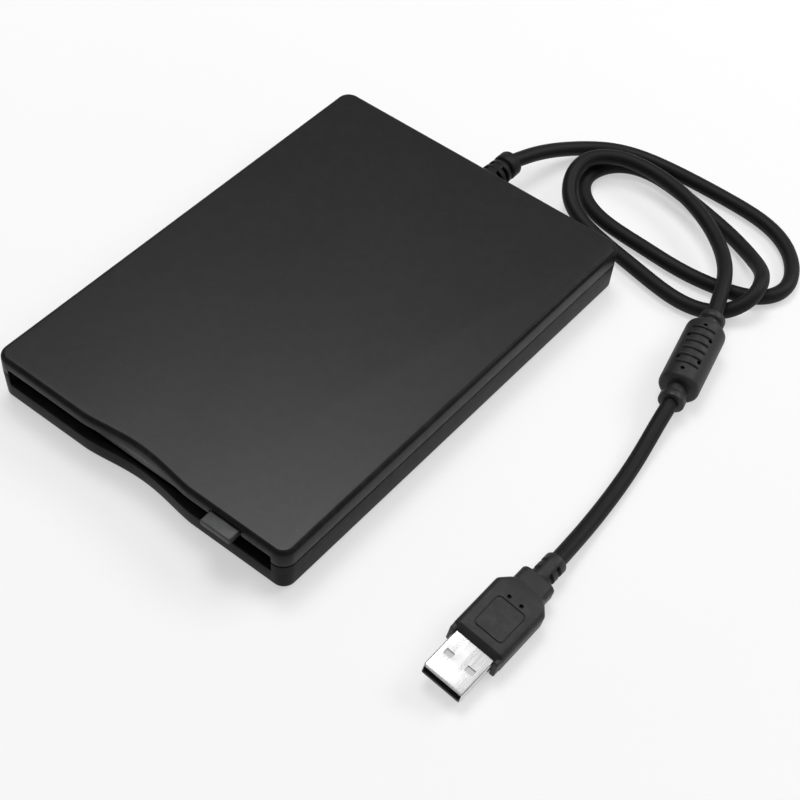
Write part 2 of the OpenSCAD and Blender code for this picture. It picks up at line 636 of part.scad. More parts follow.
module strain_relief() color([0.11, 0.11, 0.12]) {
    y = [-back_in - 1.3, -back_in, 0, 1.2, relief_l - 5.1, relief_l - 4.8, relief_l - 4, relief_l - 3.7, relief_l];
    r = [4.2, 3.3, 4.3, 4.3, 3.9, 3.1, 3.1, 4, 3.9];
    difference() {
        translate([cord_x, back_y, split_z]) rotate([-90, 0, 0]) rotate_extrude()
            polygon([[0, y[0]], [r[0], y[0]], [r[0], y[1]], [r[1], y[1]], [r[1], y[2]], [r[2], y[2]],
                [r[3], y[3]], [r[4], y[4]], [r[5], y[5]], [r[6], y[6]], [r[7], y[7]], [r[8], y[8]], [0, y[8]]]);
        for (k = [0, 1], s = [-1, 1])
            span([cord_x + s * 3.4 - 1.2, back_y + 1.8 + 2.8 * k, split_z - 5],
                [cord_x + s * 3.4 + 1.2, back_y + 2.8 + 2.8 * k, split_z + 5]);
    }
}

// Least gap between two stretches of a cord, measured on points that lie over 12 steps apart.
function least_gap(p, d) = min([for (i = [0:len(p) - 13], j = [i + 12:len(p) - 1]) norm(p[i] - p[j])]) - d;

module usb_cord() color([0.1, 0.1, 0.11]) {
    echo(cord_gap = least_gap(curve(cord_route, 8), cord_d));
    p = curve(cord_route, 2);
    loft(tube(p, cord_d / 2, 10, [0, 0, 1], [0, 1, 0], bead_b - bead_a));
}

module ferrite_bead() color([0.11, 0.11, 0.12]) {
    l = bead_l;
    b = bead_r;
    n = bead_neck;
    along(bead_a, bead_b) difference() {
        rotate_extrude() polygon([[0, 0], [3.6, 0], [3.75, 0.3], [3.75, 2.2], [3.1, 2.6], [3.1, n], [b - 1.2, n],
            [b - 0.35, n + 0.4], [b, n + 1.4], [b, l - n - 1.4], [b - 0.35, l - n - 0.4], [b - 1.2, l - n], [3.1, l - n],
            [3.1, l - 2.6], [3.75, l - 2.2], [3.75, l - 0.3], [3.6, l], [0, l]]);
        rotate_extrude() polygon([[2.6, n + 3], [b - 1.2, n + 3], [b - 1.2, l - n - 3], [2.6, l - n - 3]]);
    }
}

module ferrite_core() color([0.25, 0.25, 0.27]) {
    n = bead_neck + 3;
    along(bead_a, bead_b) rotate_extrude()
        polygon([[2.6, n], [bead_r - 1.2, n], [bead_r - 1.2, bead_l - n], [2.6, bead_l - n]]);
}

module plug_lead() color([0.1, 0.1, 0.11]) {
    p = curve(lead_route, 3);
    loft(tube(p, cord_d / 2, 10, [0, 0, 1], bead_b - bead_a, [0, -1, 0]));
}

// Upright slab with rounded edges along Y.
module slab(w, h, y0, y1, r) {
    span([plug_x - w / 2 + r, y0, plug_z - h / 2], [plug_x + w / 2 - r, y1, plug_z + h / 2]);
    span([plug_x - w / 2, y0, plug_z - h / 2 + r], [plug_x + w / 2, y1, plug_z + h / 2 - r]);
    for (sx = [-1, 1], sz = [-1, 1])
        rod_y_axis(plug_x + sx * (w / 2 - r), plug_z + sz * (h / 2 - r), y0, y1, r);
}

// Turns the plug about its own length.
module rolled() translate([plug_x, 0, plug_z]) rotate([0, plug_roll, 0]) translate([-plug_x, 0, -plug_z]) children();

module plug_overmould() color([0.12, 0.12, 0.13]) rolled() {
    h = plug_h;
    difference() {
        union() {
            // two ears beside the metal shell
            difference() {
                slab(plug_w - 0.4, h - 2, plug_y - 1.9, plug_y - 0.5, 1.5);
                span([plug_x - shell_w / 2, plug_y - 3, plug_z - h], [plug_x + shell_w / 2, shell_y1, plug_z + h]);
            }
            hull() {
                slab(plug_w - 0.4, shell_t + 0.5, shell_y1, shell_y1 + 0.1, 1.5, $fn = 32);
                slab(plug_w, h, plug_y + 0.3, plug_y + 0.4, plug_r, $fn = 32);
            }
            slab(plug_w, h, plug_y + 0.4, plug_y + 17, plug_r);
            hull() {
                slab(plug_w, h, plug_y + 17, plug_y + 17.1, plug_r, $fn = 32);
                slab(11, h - 1, plug_y + 20.1, plug_y + 20.2, plug_r, $fn = 32);
            }
            slab(10, h - 1.4, plug_y + 20.2, plug_y + 25.1, plug_r);
            rod_y_axis(plug_x, plug_z, plug_y + 25.1, lead_end.y, 3.15);
        }
        for (k = [0, 1], s = [-1, 1])
            span([plug_x + s * 2.8 - 1, plug_y + 26.6 + 3 * k, plug_z - 4],
                [plug_x + s * 2.8 + 1, plug_y + 27.6 + 3 * k, plug_z + 4]);
    }
}

module plug_shell() color([0.78, 0.79, 0.8]) rolled() {
    w = shell_w / 2;
    t = shell_t / 2;
    difference() {
        span([plug_x - w, shell_y0, plug_z - t], [plug_x + w, shell_y1, plug_z + t]);
        span([plug_x - w + 0.3, shell_y0 - 1, plug_z - t + 0.3], [plug_x + w - 0.3, shell_y1 + 1, plug_z + t - 0.3]);
        for (s = [-1, 1])
            span([plug_x + s * 3.25 - 1.2, shell_y0 + 5.4, plug_z - 4], [plug_x + s * 3.25 + 1.2, shell_y0 + 7.2, plug_z + 4]);
    }
}

module plug_tongue() color([0.9, 0.9, 0.9]) rolled() {
    w = shell_w / 2 - 0.3;
    span([plug_x - w, shell_y0 + 0.6, plug_z + 0.1], [plug_x + w, shell_y1, plug_z + shell_t / 2 - 0.3]);
}

module plug_contacts() color([0.85, 0.7, 0.3]) rolled() {
    for (x = [-3.5, -1, 1, 3.5])
        span([plug_x + x - 0.5, shell_y0 + 1.6, plug_z - 0.05], [plug_x + x + 0.5, shell_y1, plug_z + 0.1]);
}

top_cover();
bottom_shell();
rubber_feet();
case_screws();
dust_flap();
flap_spring();
chassis_frame();
disk_cage();
cage_pins();
eject_slide();
eject_button();
eject_springs();
latch_lever();
latch_pivot();
spindle_rotor();
rotor_magnet();
spindle_hub();
drive_pin();
spindle_shaft();
spindle_bearing();
stator_core();
stator_coils();
motor_board();
head_carriage();
lower_head();
upper_head_arm();
upper_head();
arm_pin();
guide_rod();
follower_pin();
lead_screw();
screw_bearing();
stepper_bracket();
stepper_motor();
main_board();
board_chips();
usb_board();
usb_chips();
ribbon_cable();
sensor_switches();
switch_plungers();
inner_leads();
strain_relief();
usb_cord();
ferrite_bead();
ferrite_core();
plug_lead();
plug_overmould();
plug_shell();
plug_tongue();
plug_contacts();
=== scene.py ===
import json
import math

import bmesh
import bpy
from mathutils import Matrix, Vector


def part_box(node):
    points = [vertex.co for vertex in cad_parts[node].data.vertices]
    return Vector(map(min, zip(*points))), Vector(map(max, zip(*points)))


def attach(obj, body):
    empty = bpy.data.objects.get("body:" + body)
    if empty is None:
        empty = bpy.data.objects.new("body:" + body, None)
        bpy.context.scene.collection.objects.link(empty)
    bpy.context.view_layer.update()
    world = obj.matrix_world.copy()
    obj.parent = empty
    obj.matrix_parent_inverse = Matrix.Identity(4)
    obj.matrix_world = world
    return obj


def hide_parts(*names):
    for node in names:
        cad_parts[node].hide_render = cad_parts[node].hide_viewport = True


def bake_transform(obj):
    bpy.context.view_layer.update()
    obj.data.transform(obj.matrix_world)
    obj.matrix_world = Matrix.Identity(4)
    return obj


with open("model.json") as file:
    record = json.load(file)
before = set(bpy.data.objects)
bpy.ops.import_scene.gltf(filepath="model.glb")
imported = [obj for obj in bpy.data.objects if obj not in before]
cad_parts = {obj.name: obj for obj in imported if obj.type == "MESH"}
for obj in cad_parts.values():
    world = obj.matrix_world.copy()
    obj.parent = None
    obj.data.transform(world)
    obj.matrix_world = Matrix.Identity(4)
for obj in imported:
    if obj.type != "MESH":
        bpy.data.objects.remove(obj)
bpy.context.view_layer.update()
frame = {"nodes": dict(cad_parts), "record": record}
mm = 0.001
scene = bpy.context.scene
scene.view_settings.view_transform = "Standard"
print("frame loaded:", len(frame["nodes"]), "nodes")


# camera at the photograph's angle
cameraSet = {
    "place": (0.22196, -0.25894, 0.37117),
    "azimuth": 36.45,
    "elevation": 49.23,
    "roll": 3.51,
    "lens": 81.22,
    "sensor": 36.0,
}


def makeCamera(s):
    a, e, r = (math.radians(s[k]) for k in ("azimuth", "elevation", "roll"))
    back = Vector((math.sin(a) * math.cos(e), -math.cos(a) * math.cos(e), math.sin(e)))
    level = Vector((0, 0, 1)).cross(back).normalized()
    lift = back.cross(level)
    right = math.cos(r) * level + math.sin(r) * lift
    top = math.cos(r) * lift - math.sin(r) * level
    data = bpy.data.cameras.new("camera")
    data.lens = s["lens"]
    data.sensor_width = s["sensor"]
    camera = bpy.data.objects.new("camera", data)
    turn = Matrix((right, top, back)).transposed().to_4x4()
    camera.matrix_world = Matrix.Translation(s["place"]) @ turn
    scene.collection.objects.link(camera)
    scene.camera = camera


makeCamera(cameraSet)


# node helpers: a socket takes a value, or the output (node, socket) that feeds it
def fed(value):
    return isinstance(value, tuple) and hasattr(value[0], "outputs")


def feed(tree, node, values):
    for key, value in values.items():
        if fed(value):
            tree.links.new(value[0].outputs[value[1]], node.inputs[key])
        else:
            node.inputs[key].default_value = value
    return node


def put(tree, kind, values=None, **settings):
    node = tree.nodes.new(kind)
    for key, value in settings.items():
        setattr(node, key, value)
    return feed(tree, node, values or {})


socketKinds = {float: "Float", int: "Int", tuple: "Vector"}
outputKinds = {"Shader": "Float", "Geometry": "Geometry"}


# an input is a default value, or the kind of socket when it has none
def newGroup(name, kind, inputs, outputs):
    group = bpy.data.node_groups.new(name, kind + "NodeTree")
    for label, value in inputs.items():
        socketKind = socketKinds.get(type(value), value)
        socket = group.interface.new_socket(name=label, in_out="INPUT", socket_type=f"NodeSocket{socketKind}")
        if socketKind != value:
            socket.default_value = value
    for label in outputs:
        group.interface.new_socket(name=label, in_out="OUTPUT", socket_type=f"NodeSocket{outputKinds[kind]}")
    start = group.nodes.new("NodeGroupInput")
    end = group.nodes.new("NodeGroupOutput")
    return group, start, end


def stretch(tree, source, low, high, toLow=0.0, toHigh=1.0):
    values = {"Value": source, "From Min": low, "From Max": high, "To Min": toLow, "To Max": toHigh}
    return put(tree, "ShaderNodeMapRange", values), "Result"


def reckon(tree, operation, *terms, clamp=False):
    return put(tree, "ShaderNodeMath", dict(enumerate(terms)), operation=operation, use_clamp=clamp), "Value"


# spark-eroded mould grain: fine height, slow mottling and small lint specks
grainSet = {"mottle": (0.3, 0.7), "speckScale": 260.0, "speck": (0.05, 0.02), "pits": 0.5}


def makeGrainGroup(s):
    g, start, end = newGroup("mouldGrain", "Shader", {"Grain Scale": 2600.0, "Mottle Scale": 45.0},
                             ["Height", "Mottle", "Speck"])
    place = put(g, "ShaderNodeTexCoord"), "Object"
    scale = start, "Grain Scale"
    fine = put(g, "ShaderNodeTexNoise", {"Vector": place, "Scale": scale, "Detail": 3.0, "Roughness": 0.6})
    pits = put(g, "ShaderNodeTexVoronoi", {"Vector": place, "Scale": scale})
    slow = put(g, "ShaderNodeTexNoise", {"Vector": place, "Scale": (start, "Mottle Scale"), "Detail": 4.0,
                                         "Roughness": 0.55, "Distortion": 0.4})
    lint = put(g, "ShaderNodeTexVoronoi", {"Vector": place, "Scale": s["speckScale"]})
    feed(g, end, {"Height": reckon(g, "MULTIPLY_ADD", (pits, "Distance"), s["pits"], (fine, "Fac")),
                  "Mottle": stretch(g, (slow, "Fac"), *s["mottle"]),
                  "Speck": stretch(g, (lint, "Distance"), *s["speck"])})
    return g


# handling wear: the edge attribute of a piece, broken up by noise
wearSet = {"chips": (0.42, 0.66)}


def makeWearGroup(s):
    g, start, end = newGroup("edgeWear", "Shader", {"Break Scale": 350.0, "Amount": 0.6}, ["Wear"])
    edge = put(g, "ShaderNodeAttribute", attribute_name="edge")
    patch = put(g, "ShaderNodeTexNoise", {"Vector": (put(g, "ShaderNodeTexCoord"), "Object"),
                                          "Scale": (start, "Break Scale"), "Detail": 5.0, "Roughness": 0.65})
    cut = reckon(g, "MULTIPLY", (edge, "Fac"), stretch(g, (patch, "Fac"), *s["chips"]))
    feed(g, end, {"Wear": reckon(g, "MULTIPLY", cut, (start, "Amount"), clamp=True)})
    return g


# drawn or rolled metal: fine lines along one axis, and slow stains
brushSet = {"stain": (0.35, 0.7)}


def makeBrushGroup(s):
    g, start, end = newGroup("drawnLines", "Shader", {"Stretch": (2500.0, 60.0, 2500.0), "Stain Scale": 90.0},
                             ["Lines", "Stain"])
    place = put(g, "ShaderNodeTexCoord"), "Object"
    pull = put(g, "ShaderNodeVectorMath", {0: place, 1: (start, "Stretch")}, operation="MULTIPLY")
    lines = put(g, "ShaderNodeTexNoise", {"Vector": (pull, "Vector"), "Scale": 1.0, "Detail": 3.0})
    stain = put(g, "ShaderNodeTexNoise", {"Vector": place, "Scale": (start, "Stain Scale"), "Detail": 5.0,
                                          "Roughness": 0.6})
    feed(g, end, {"Lines": (lines, "Fac"), "Stain": stretch(g, (stain, "Fac"), *s["stain"])})
    return g


# solder mask over copper tracks
trackSet = {"pad": (0.22, 0.16)}


def makeTrackGroup(s):
    g, start, end = newGroup("boardTracks", "Shader", {"Track Scale": 380.0}, ["Track", "Pad"])
    spot = {"Vector": (put(g, "ShaderNodeTexCoord"), "Object"), "Scale": (start, "Track Scale")}
    grid = put(g, "ShaderNodeTexBrick", {**spot, "Mortar Size": 0.03, "Brick Width": 1.7, "Row Height": 0.4})
    dots = put(g, "ShaderNodeTexVoronoi", {**spot, "Randomness": 0.25})
    feed(g, end, {"Track": (grid, "Fac"), "Pad": stretch(g, (dots, "Distance"), *s["pad"])})
    return g


grainGroup = makeGrainGroup(grainSet)
wearGroup = makeWearGroup(wearSet)
brushGroup = makeBrushGroup(brushSet)
trackGroup = makeTrackGroup(trackSet)


def useGroup(tree, group, values):
    return put(tree, "ShaderNodeGroup", values, node_tree=group)


def newFinish(name):
    material = bpy.data.materials.new(name)
    material.use_nodes = True
    tree = material.node_tree
    return material, tree, tree.nodes["Principled BSDF"]


# a colour, or one number for a grey
def tone(value):
    return (*value, 1.0) if isinstance(value, tuple) else (value, value, value, 1.0)


def mixTone(tree, share, low, high):
    low, high = (v if fed(v) else tone(v) for v in (low, high))
    return put(tree, "ShaderNodeMix", {0: share, 6: low, 7: high}, data_type="RGBA"), 2


def bumpTo(tree, bsdf, height, s):
    bump = put(tree, "ShaderNodeBump", {"Height": height, "Strength": s["bump"], "Distance": s["depth"] * mm})
    feed(tree, bsdf, {"Normal": (bump, "Normal")})


plasticBase = {"mottle": 45.0, "wear": 0.5, "polish": 0.12, "gloss": 0.5, "depth": 0.03, "lint": 0.0, "coat": 0.0}


def plasticFinish(name, own):
    s = {**plasticBase, **own}
    material, tree, bsdf = newFinish(name)
    grain = useGroup(tree, grainGroup, {"Grain Scale": s["grain"], "Mottle Scale": s["mottle"]})
    wear = useGroup(tree, wearGroup, {"Amount": s["wear"]}), "Wear"
    mottle = grain, "Mottle"
    body = mixTone(tree, wear, mixTone(tree, mottle, s["dark"], s["light"]), s["rub"])
    if s["lint"]:
        speck = stretch(tree, (grain, "Speck"), 0.0, 1.0, 0.0, s["lint"])
        body = mixTone(tree, speck, body, s["lintTone"])
    matt = stretch(tree, mottle, 0.0, 1.0, *s["rough"])
    feed(tree, bsdf, {"Base Color": body, "Specular IOR Level": s["gloss"],
                      "Roughness": reckon(tree, "MULTIPLY_ADD", wear, -s["polish"], matt, clamp=True)})
    if s["coat"]:
        turn = put(tree, "ShaderNodeSeparateXYZ", {0: (put(tree, "ShaderNodeTexCoord"), "Normal")})
        smooth = stretch(tree, (turn, "Z"), *s["coatUp"], 0.0, s["coat"])
        feed(tree, bsdf, {"Coat Weight": smooth, "Coat Roughness": s["coatRough"]})
    bumpTo(tree, bsdf, (grain, "Height"), s)
    return material


metalBase = {"stain": 90.0, "wear": 0.3, "lines": (0.3, 0.7), "dull": 0.3, "depth": 0.01}


# the attribute marks the inner faces of a hollow piece: there the colour is painted shade, mixed towards the dark
# tone deep, and the finish is duller
def metalFinish(name, own):
    s = {**metalBase, **own}
    material, tree, bsdf = newFinish(name)
    brush = useGroup(tree, brushGroup, {"Stretch": s["stretch"], "Stain Scale": s["stain"]})
    wear = useGroup(tree, wearGroup, {"Amount": s["wear"]}), "Wear"
    shadedInside = put(tree, "ShaderNodeAttribute", attribute_name="shadedInside"), "Fac"
    body = mixTone(tree, wear, mixTone(tree, (brush, "Stain"), s["dark"], s["light"]), s["rub"])
    matt = stretch(tree, (brush, "Lines"), *s["lines"], *s["rough"])
    # painted shade: marked inner faces take the dark tone deep in place of the metal's own colour
    feed(tree, bsdf, {"Base Color": mixTone(tree, shadedInside, body, s.get("deep", s["dark"])), "Metallic": 1.0,
                      "Roughness": reckon(tree, "MULTIPLY_ADD", shadedInside, s["dull"], matt, clamp=True)})
    bumpTo(tree, bsdf, (brush, "Lines"), s)
    return material


def boardFinish(name, s):
    material, tree, bsdf = newFinish(name)
    grain = useGroup(tree, grainGroup, {"Grain Scale": s["grain"], "Mottle Scale": s["mottle"]})
    tracks = useGroup(tree, trackGroup, {"Track Scale": s["tracks"]})
    mottle = grain, "Mottle"
    lined = mixTone(tree, (tracks, "Track"), mixTone(tree, mottle, s["dark"], s["light"]), s["track"])
    feed(tree, bsdf, {"Base Color": mixTone(tree, (tracks, "Pad"), lined, s["pad"]),
                      "Roughness": stretch(tree, mottle, 0.0, 1.0, *s["rough"])})
    bumpTo(tree, bsdf, (tracks, "Track"), s)
    return material


plasticFinishes = {
    "case_plastic": {"dark": (0.0082, 0.0082, 0.0086), "light": (0.0094, 0.0094, 0.0098), "rub": (0.03, 0.03, 0.031),
                     "grain": 2200, "rough": (0.35, 0.4), "bump": 0.16, "wear": 0.4, "gloss": 0.08,
                     "lint": 0.3, "lintTone": (0.16, 0.16, 0.165), "coat": 0.52, "coatRough": 0.36,
                     "coatUp": (0.94, 0.995)},
    "flap_plastic": {"dark": (0.075, 0.075, 0.077), "light": (0.09, 0.09, 0.092), "rub": (0.13, 0.13, 0.132),
                     "grain": 2400, "rough": (0.42, 0.5), "bump": 0.1, "gloss": 0.35},
    "button_plastic": {"dark": (0.04, 0.041, 0.042), "light": (0.046, 0.047, 0.048), "rub": 0.08,
                       "grain": 2600, "rough": (0.44, 0.5), "bump": 0.1, "gloss": 0.3},
    "foot_rubber": {"dark": 0.022, "light": 0.034, "rub": (0.09, 0.088, 0.085),
                    "grain": 1800, "rough": (0.7, 0.85), "bump": 0.25, "gloss": 0.3},
    "carriage_plastic": {"dark": (0.03, 0.03, 0.033), "light": (0.05, 0.05, 0.054), "rub": 0.1,
                         "grain": 1500, "rough": (0.5, 0.62), "bump": 0.2},
    "head_ceramic": {"dark": (0.58, 0.56, 0.5), "light": (0.68, 0.66, 0.6), "rub": (0.75, 0.73, 0.68),
                     "grain": 5000, "rough": (0.2, 0.32), "bump": 0.05},
    "chip_black": {"dark": 0.014, "light": 0.024, "rub": 0.06,
                   "grain": 4200, "rough": (0.55, 0.7), "bump": 0.2},
    "ribbon_white": {"dark": (0.6, 0.6, 0.57), "light": (0.7, 0.7, 0.68), "rub": (0.75, 0.75, 0.72),
                     "grain": 900, "rough": (0.3, 0.42), "bump": 0.1},
    "lead_red": {"dark": (0.3, 0.035, 0.03), "light": (0.4, 0.06, 0.05), "rub": (0.5, 0.15, 0.12),
                 "grain": 3000, "rough": (0.35, 0.45), "bump": 0.08},
    "cord_vinyl": {"dark": (0.0066, 0.0066, 0.0069), "light": (0.0088, 0.0088, 0.0092), "rub": 0.025,
                   "grain": 2000, "rough": (0.5, 0.6), "bump": 0.2, "mottle": 120, "gloss": 0.18},
    "bead_vinyl": {"dark": (0.0135, 0.0135, 0.0139), "light": (0.018, 0.018, 0.0185), "rub": 0.035,
                   "grain": 1500, "rough": (0.46, 0.56), "bump": 0.4, "mottle": 110, "gloss": 0.3},
    "plug_vinyl": {"dark": (0.0145, 0.0145, 0.0149), "light": (0.0195, 0.0195, 0.0201), "rub": 0.04,
                   "grain": 1500, "rough": (0.46, 0.56), "bump": 0.4, "mottle": 110, "gloss": 0.3},
    "tongue_plastic": {"dark": 0.58, "light": 0.64, "rub": 0.7,
                       "grain": 3000, "rough": (0.45, 0.55), "bump": 0.06, "gloss": 0.15},
    "ferrite": {"dark": (0.04, 0.04, 0.043), "light": (0.075, 0.075, 0.08), "rub": 0.15,
                "grain": 1400, "rough": (0.55, 0.75), "bump": 0.35},
}
metalFinishes = {
    "zinc_steel": {"dark": (0.46, 0.46, 0.47), "light": (0.6, 0.6, 0.61), "rub": 0.7,
                   "stretch": (900, 900, 200), "rough": (0.28, 0.42), "bump": 0.1},
    "spring_steel": {"dark": (0.5, 0.5, 0.52), "light": (0.62, 0.62, 0.64), "rub": 0.7,
                     "stretch": (1800, 400, 1800), "rough": (0.22, 0.34), "bump": 0.08},
    "sheet_steel": {"dark": (0.46, 0.47, 0.48), "light": (0.6, 0.61, 0.62), "rub": 0.72,
                    "stretch": (1600, 40, 1600), "rough": (0.28, 0.44), "bump": 0.1},
    "ground_steel": {"dark": (0.6, 0.6, 0.62), "light": (0.7, 0.7, 0.72), "rub": 0.78,
                     "stretch": (300, 2600, 2600), "rough": (0.1, 0.2), "bump": 0.05},
    "plug_steel": {"dark": (0.66, 0.66, 0.665), "light": (0.74, 0.74, 0.745), "rub": 0.8,
                   "stretch": (1500, 60, 1500), "rough": (0.24, 0.32), "bump": 0.05,
                   # deep: painted shade for the hollow of the shell
                   "deep": (0.05, 0.05, 0.052)},
    "bronze": {"dark": (0.48, 0.34, 0.16), "light": (0.6, 0.45, 0.22), "rub": (0.7, 0.55, 0.3),
               "stretch": (700, 700, 700), "rough": (0.32, 0.46), "bump": 0.12},
    "copper": {"dark": (0.5, 0.23, 0.1), "light": (0.64, 0.33, 0.16), "rub": (0.7, 0.42, 0.25),
               "stretch": (200, 200, 6000), "rough": (0.22, 0.38), "bump": 0.3},
    "contact_gold": {"dark": (0.72, 0.52, 0.2), "light": (0.82, 0.62, 0.27), "rub": (0.85, 0.7, 0.4),
                     "stretch": (2400, 80, 2400), "rough": (0.16, 0.26), "bump": 0.04},
}
boardFinishes = {
    "board_green": {"dark": (0.012, 0.085, 0.04), "light": (0.02, 0.12, 0.06), "track": (0.03, 0.2, 0.09),
                    "pad": (0.5, 0.5, 0.48), "tracks": 380, "rough": (0.25, 0.38), "grain": 4000, "mottle": 120,
                    "bump": 0.3, "depth": 0.03},
}
finishes = {}
for makeFinish, settings in ((plasticFinish, plasticFinishes), (metalFinish, metalFinishes),
                             (boardFinish, boardFinishes)):
    for slotName, values in settings.items():
        finishes[slotName] = makeFinish(slotName, values)

# every carried-over node takes the finish of its slot
for part in frame["record"]["subparts"]:
    node = frame["nodes"][part["node"]]
    if not node.data.materials:
        node.data.materials.append(finishes[part["material_slot"]])
    for index in range(len(node.data.materials)):
        node.data.materials[index] = finishes[part["material_slot"]]
print("finishes made:", len(finishes))


# mesh helpers: shapes are in millimetres, meshes in metres
meshSet = {"sharp": 32.0, "bend": 900.0, "merge": 1e-7, "flat": 1e-8, "shortest": 0.0002, "upright": 0.9}


def markEdges(mesh):
    bm = bmesh.new()
    bm.from_mesh(mesh)
    bm.normal_update()
    weights = []
    for v in bm.verts:
        bend = 0.0
        for e in v.link_edges:
            away = v.co - e.other_vert(v).co
            if away.length > meshSet["merge"]:
                bend = max(bend, 2 * v.normal.dot(away.normalized()) / max(away.length, meshSet["shortest"]))
        weights.append(min(1.0, max(0.0, bend / meshSet["bend"])))
    bm.free()
    attribute = mesh.attributes.new("edge", "FLOAT", "POINT")
    attribute.data.foreach_set("value", weights)


def cleanMesh(mesh, angle=meshSet["sharp"]):
    if "edge" in mesh.attributes:
        mesh.attributes.remove(mesh.attributes["edge"])
    bm = bmesh.new()
    bm.from_mesh(mesh)
    bmesh.ops.remove_doubles(bm, verts=bm.verts, dist=meshSet["merge"])
    bmesh.ops.dissolve_degenerate(bm, edges=bm.edges, dist=meshSet["flat"])
    bmesh.ops.recalc_face_normals(bm, faces=bm.faces)
    bm.to_mesh(mesh)
    bm.free()
    mesh.shade_smooth()
    mesh.set_sharp_from_angle(angle=math.radians(angle))
    markEdges(mesh)


def newPiece(name, shapes, slotName=None, angle=meshSet["sharp"]):
    verts, faces = [], []
    for shapeVerts, shapeFaces in shapes:
        faces += [[i + len(verts) for i in f] for f in shapeFaces]
        verts += [tuple(c * mm for c in v) for v in shapeVerts]
    mesh = bpy.data.meshes.new(name)
    mesh.from_pydata(verts, [], faces)
    cleanMesh(mesh, angle)
    if slotName:
        mesh.materials.append(finishes[slotName])
    piece = bpy.data.objects.new(name, mesh)
    scene.collection.objects.link(piece)
    return piece


def loft(rings, ring=False):
    n, m = len(rings[0]), len(rings)
    verts = [p for r in rings for p in r]
    faces = []
    for k in range(m if ring else m - 1):
        a, b = k * n, (k + 1) % m * n
        faces += [[a + i, a + (i + 1) % n, b + (i + 1) % n, b + i] for i in range(n)]
    if not ring:
        faces.append(list(range(n - 1, -1, -1)))
        faces.append([(m - 1) * n + i for i in range(n)])
    return verts, faces


def roundBox(low, high, radius, steps):
    bm = bmesh.new()
    bmesh.ops.create_cube(bm, size=1)
    for v in bm.verts:
        v.co = Vector([low[c] + (v.co[c] + 0.5) * (high[c] - low[c]) for c in range(3)])
    bmesh.ops.bevel(bm, geom=list(bm.edges), offset=radius, segments=steps, profile=0.5, affect="EDGES")
    bm.verts.index_update()
    shape = [tuple(v.co) for v in bm.verts], [[v.index for v in f.verts] for f in bm.faces]
    bm.free()
    return shape


def shapeBox(low, high, radius=0.15):
    return roundBox(low, high, radius, 2)


# two directions square to an axis, the second one upwards where it can be
def axisFrame(axis):
    upright = abs(axis.z) > meshSet["upright"]
    side = axis.cross(Vector((0, 1, 0)) if upright else Vector((0, 0, 1))).normalized()
    return side, side.cross(axis)


def lathe(profile, centre, along, steps=48, ring=False):
    axis = Vector(along).normalized()
    side, lift = axisFrame(axis)
    turns = [2 * math.pi * k / steps for k in range(steps)]
    spokes = [side * math.cos(t) + lift * math.sin(t) for t in turns]
    return loft([[tuple(Vector(centre) + axis * s + r * spoke) for spoke in spokes] for r, s in profile], ring)


def keepChange(piece, change):
    graph = bpy.context.evaluated_depsgraph_get()
    mesh = bpy.data.meshes.new_from_object(piece.evaluated_get(graph))
    piece.modifiers.remove(change)
    piece.data = mesh
    return mesh


def cutAway(piece, shapes, angle=meshSet["sharp"]):
    cutter = newPiece("cutter", shapes)
    change = piece.modifiers.new("cut", "BOOLEAN")
    change.operation = "DIFFERENCE"
    change.solver = "EXACT"
    change.object = cutter
    cleanMesh(keepChange(piece, change), angle)
    bpy.data.objects.remove(cutter)


def joinPiece(piece, other):
    bm = bmesh.new()
    bm.from_mesh(piece.data)
    bm.from_mesh(other.data)
    bm.to_mesh(piece.data)
    bm.free()
    cleanMesh(piece.data)
    bpy.data.objects.remove(other)


def addShapes(piece, shapes):
    joinPiece(piece, newPiece("extra", shapes))


def settle(piece, body, slotName, *nodes):
    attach(piece, body)
    if nodes:
        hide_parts(*nodes)


# marks the faces that lie within a sleeve along Y, which get painted shade in the hollow
def markShadedInside(mesh, fromY, halfW, halfH):
    attribute = mesh.attributes.new("shadedInside", "FLOAT", "POINT")
    for v, mark in zip(mesh.vertices, attribute.data):
        x, y, z = (c / mm for c in v.co)
        mark.value = float(y > fromY and abs(x) < halfW and abs(z) < halfH)


# cords, on the same points as the solids
cordSet = {
    "thick": 4.5,
    "route": [
        (3, 86.1, 10.2), (4.6, 92.8, 9.2), (6.9, 101.5, 6.9), (11.7, 111.7, 3.9), (18.8, 119, 2.5),
        (29.2, 122.5, 2.4), (43.1, 123.5, 2.4), (57, 123.5, 2.4), (70, 122.5, 2.4), (80.1, 118.5, 2.4),
        (87.3, 111.3, 2.4), (90.2, 102.4, 2.4), (86.5, 95, 2.4), (78, 90.9, 2.4), (64.1, 88.8, 2.4),
        (50, 89.7, 2.4), (37.1, 90.6, 2.4), (26.9, 93.9, 2.4), (20.4, 100.9, 2.4), (20.6, 109.3, 2.4),
        (26.5, 116.1, 2.4), (37.1, 117.8, 2.4), (50.9, 115.1, 2.4), (66, 111, 2.6), (78, 104.6, 4.2),
        (84.8, 96.9, 7.7), (86.2, 88, 6.4), (80, 81, 2.7), (68, 78.2, 2.4), (51.9, 81.2, 2.4),
        (36, 84.5, 2.4), (23.9, 88.9, 4), (18.5, 96.4, 7), (18.3, 105.2, 8), (25.4, 111.7, 8),
        (36.4, 113.1, 7.9), (50, 110.6, 7.8), (61.9, 104.8, 7.6), (70.8, 97.6, 7.8), (76.4, 90, 8.6),
        (79.7, 82.5, 8.4), (82.6, 74.5, 7.3)],
    "lead": [(90.3, 41.7, 5.55), (91.5, 33.5, 4.4), (93.4, 22, 2.6), (95, 10, 2.4), (96.1, -2.2, 2.5),
             (96.9, -12.4, 3.7), (97.5, -20.4, 4.979)],
    "steps": 8, "sides": 6,
}


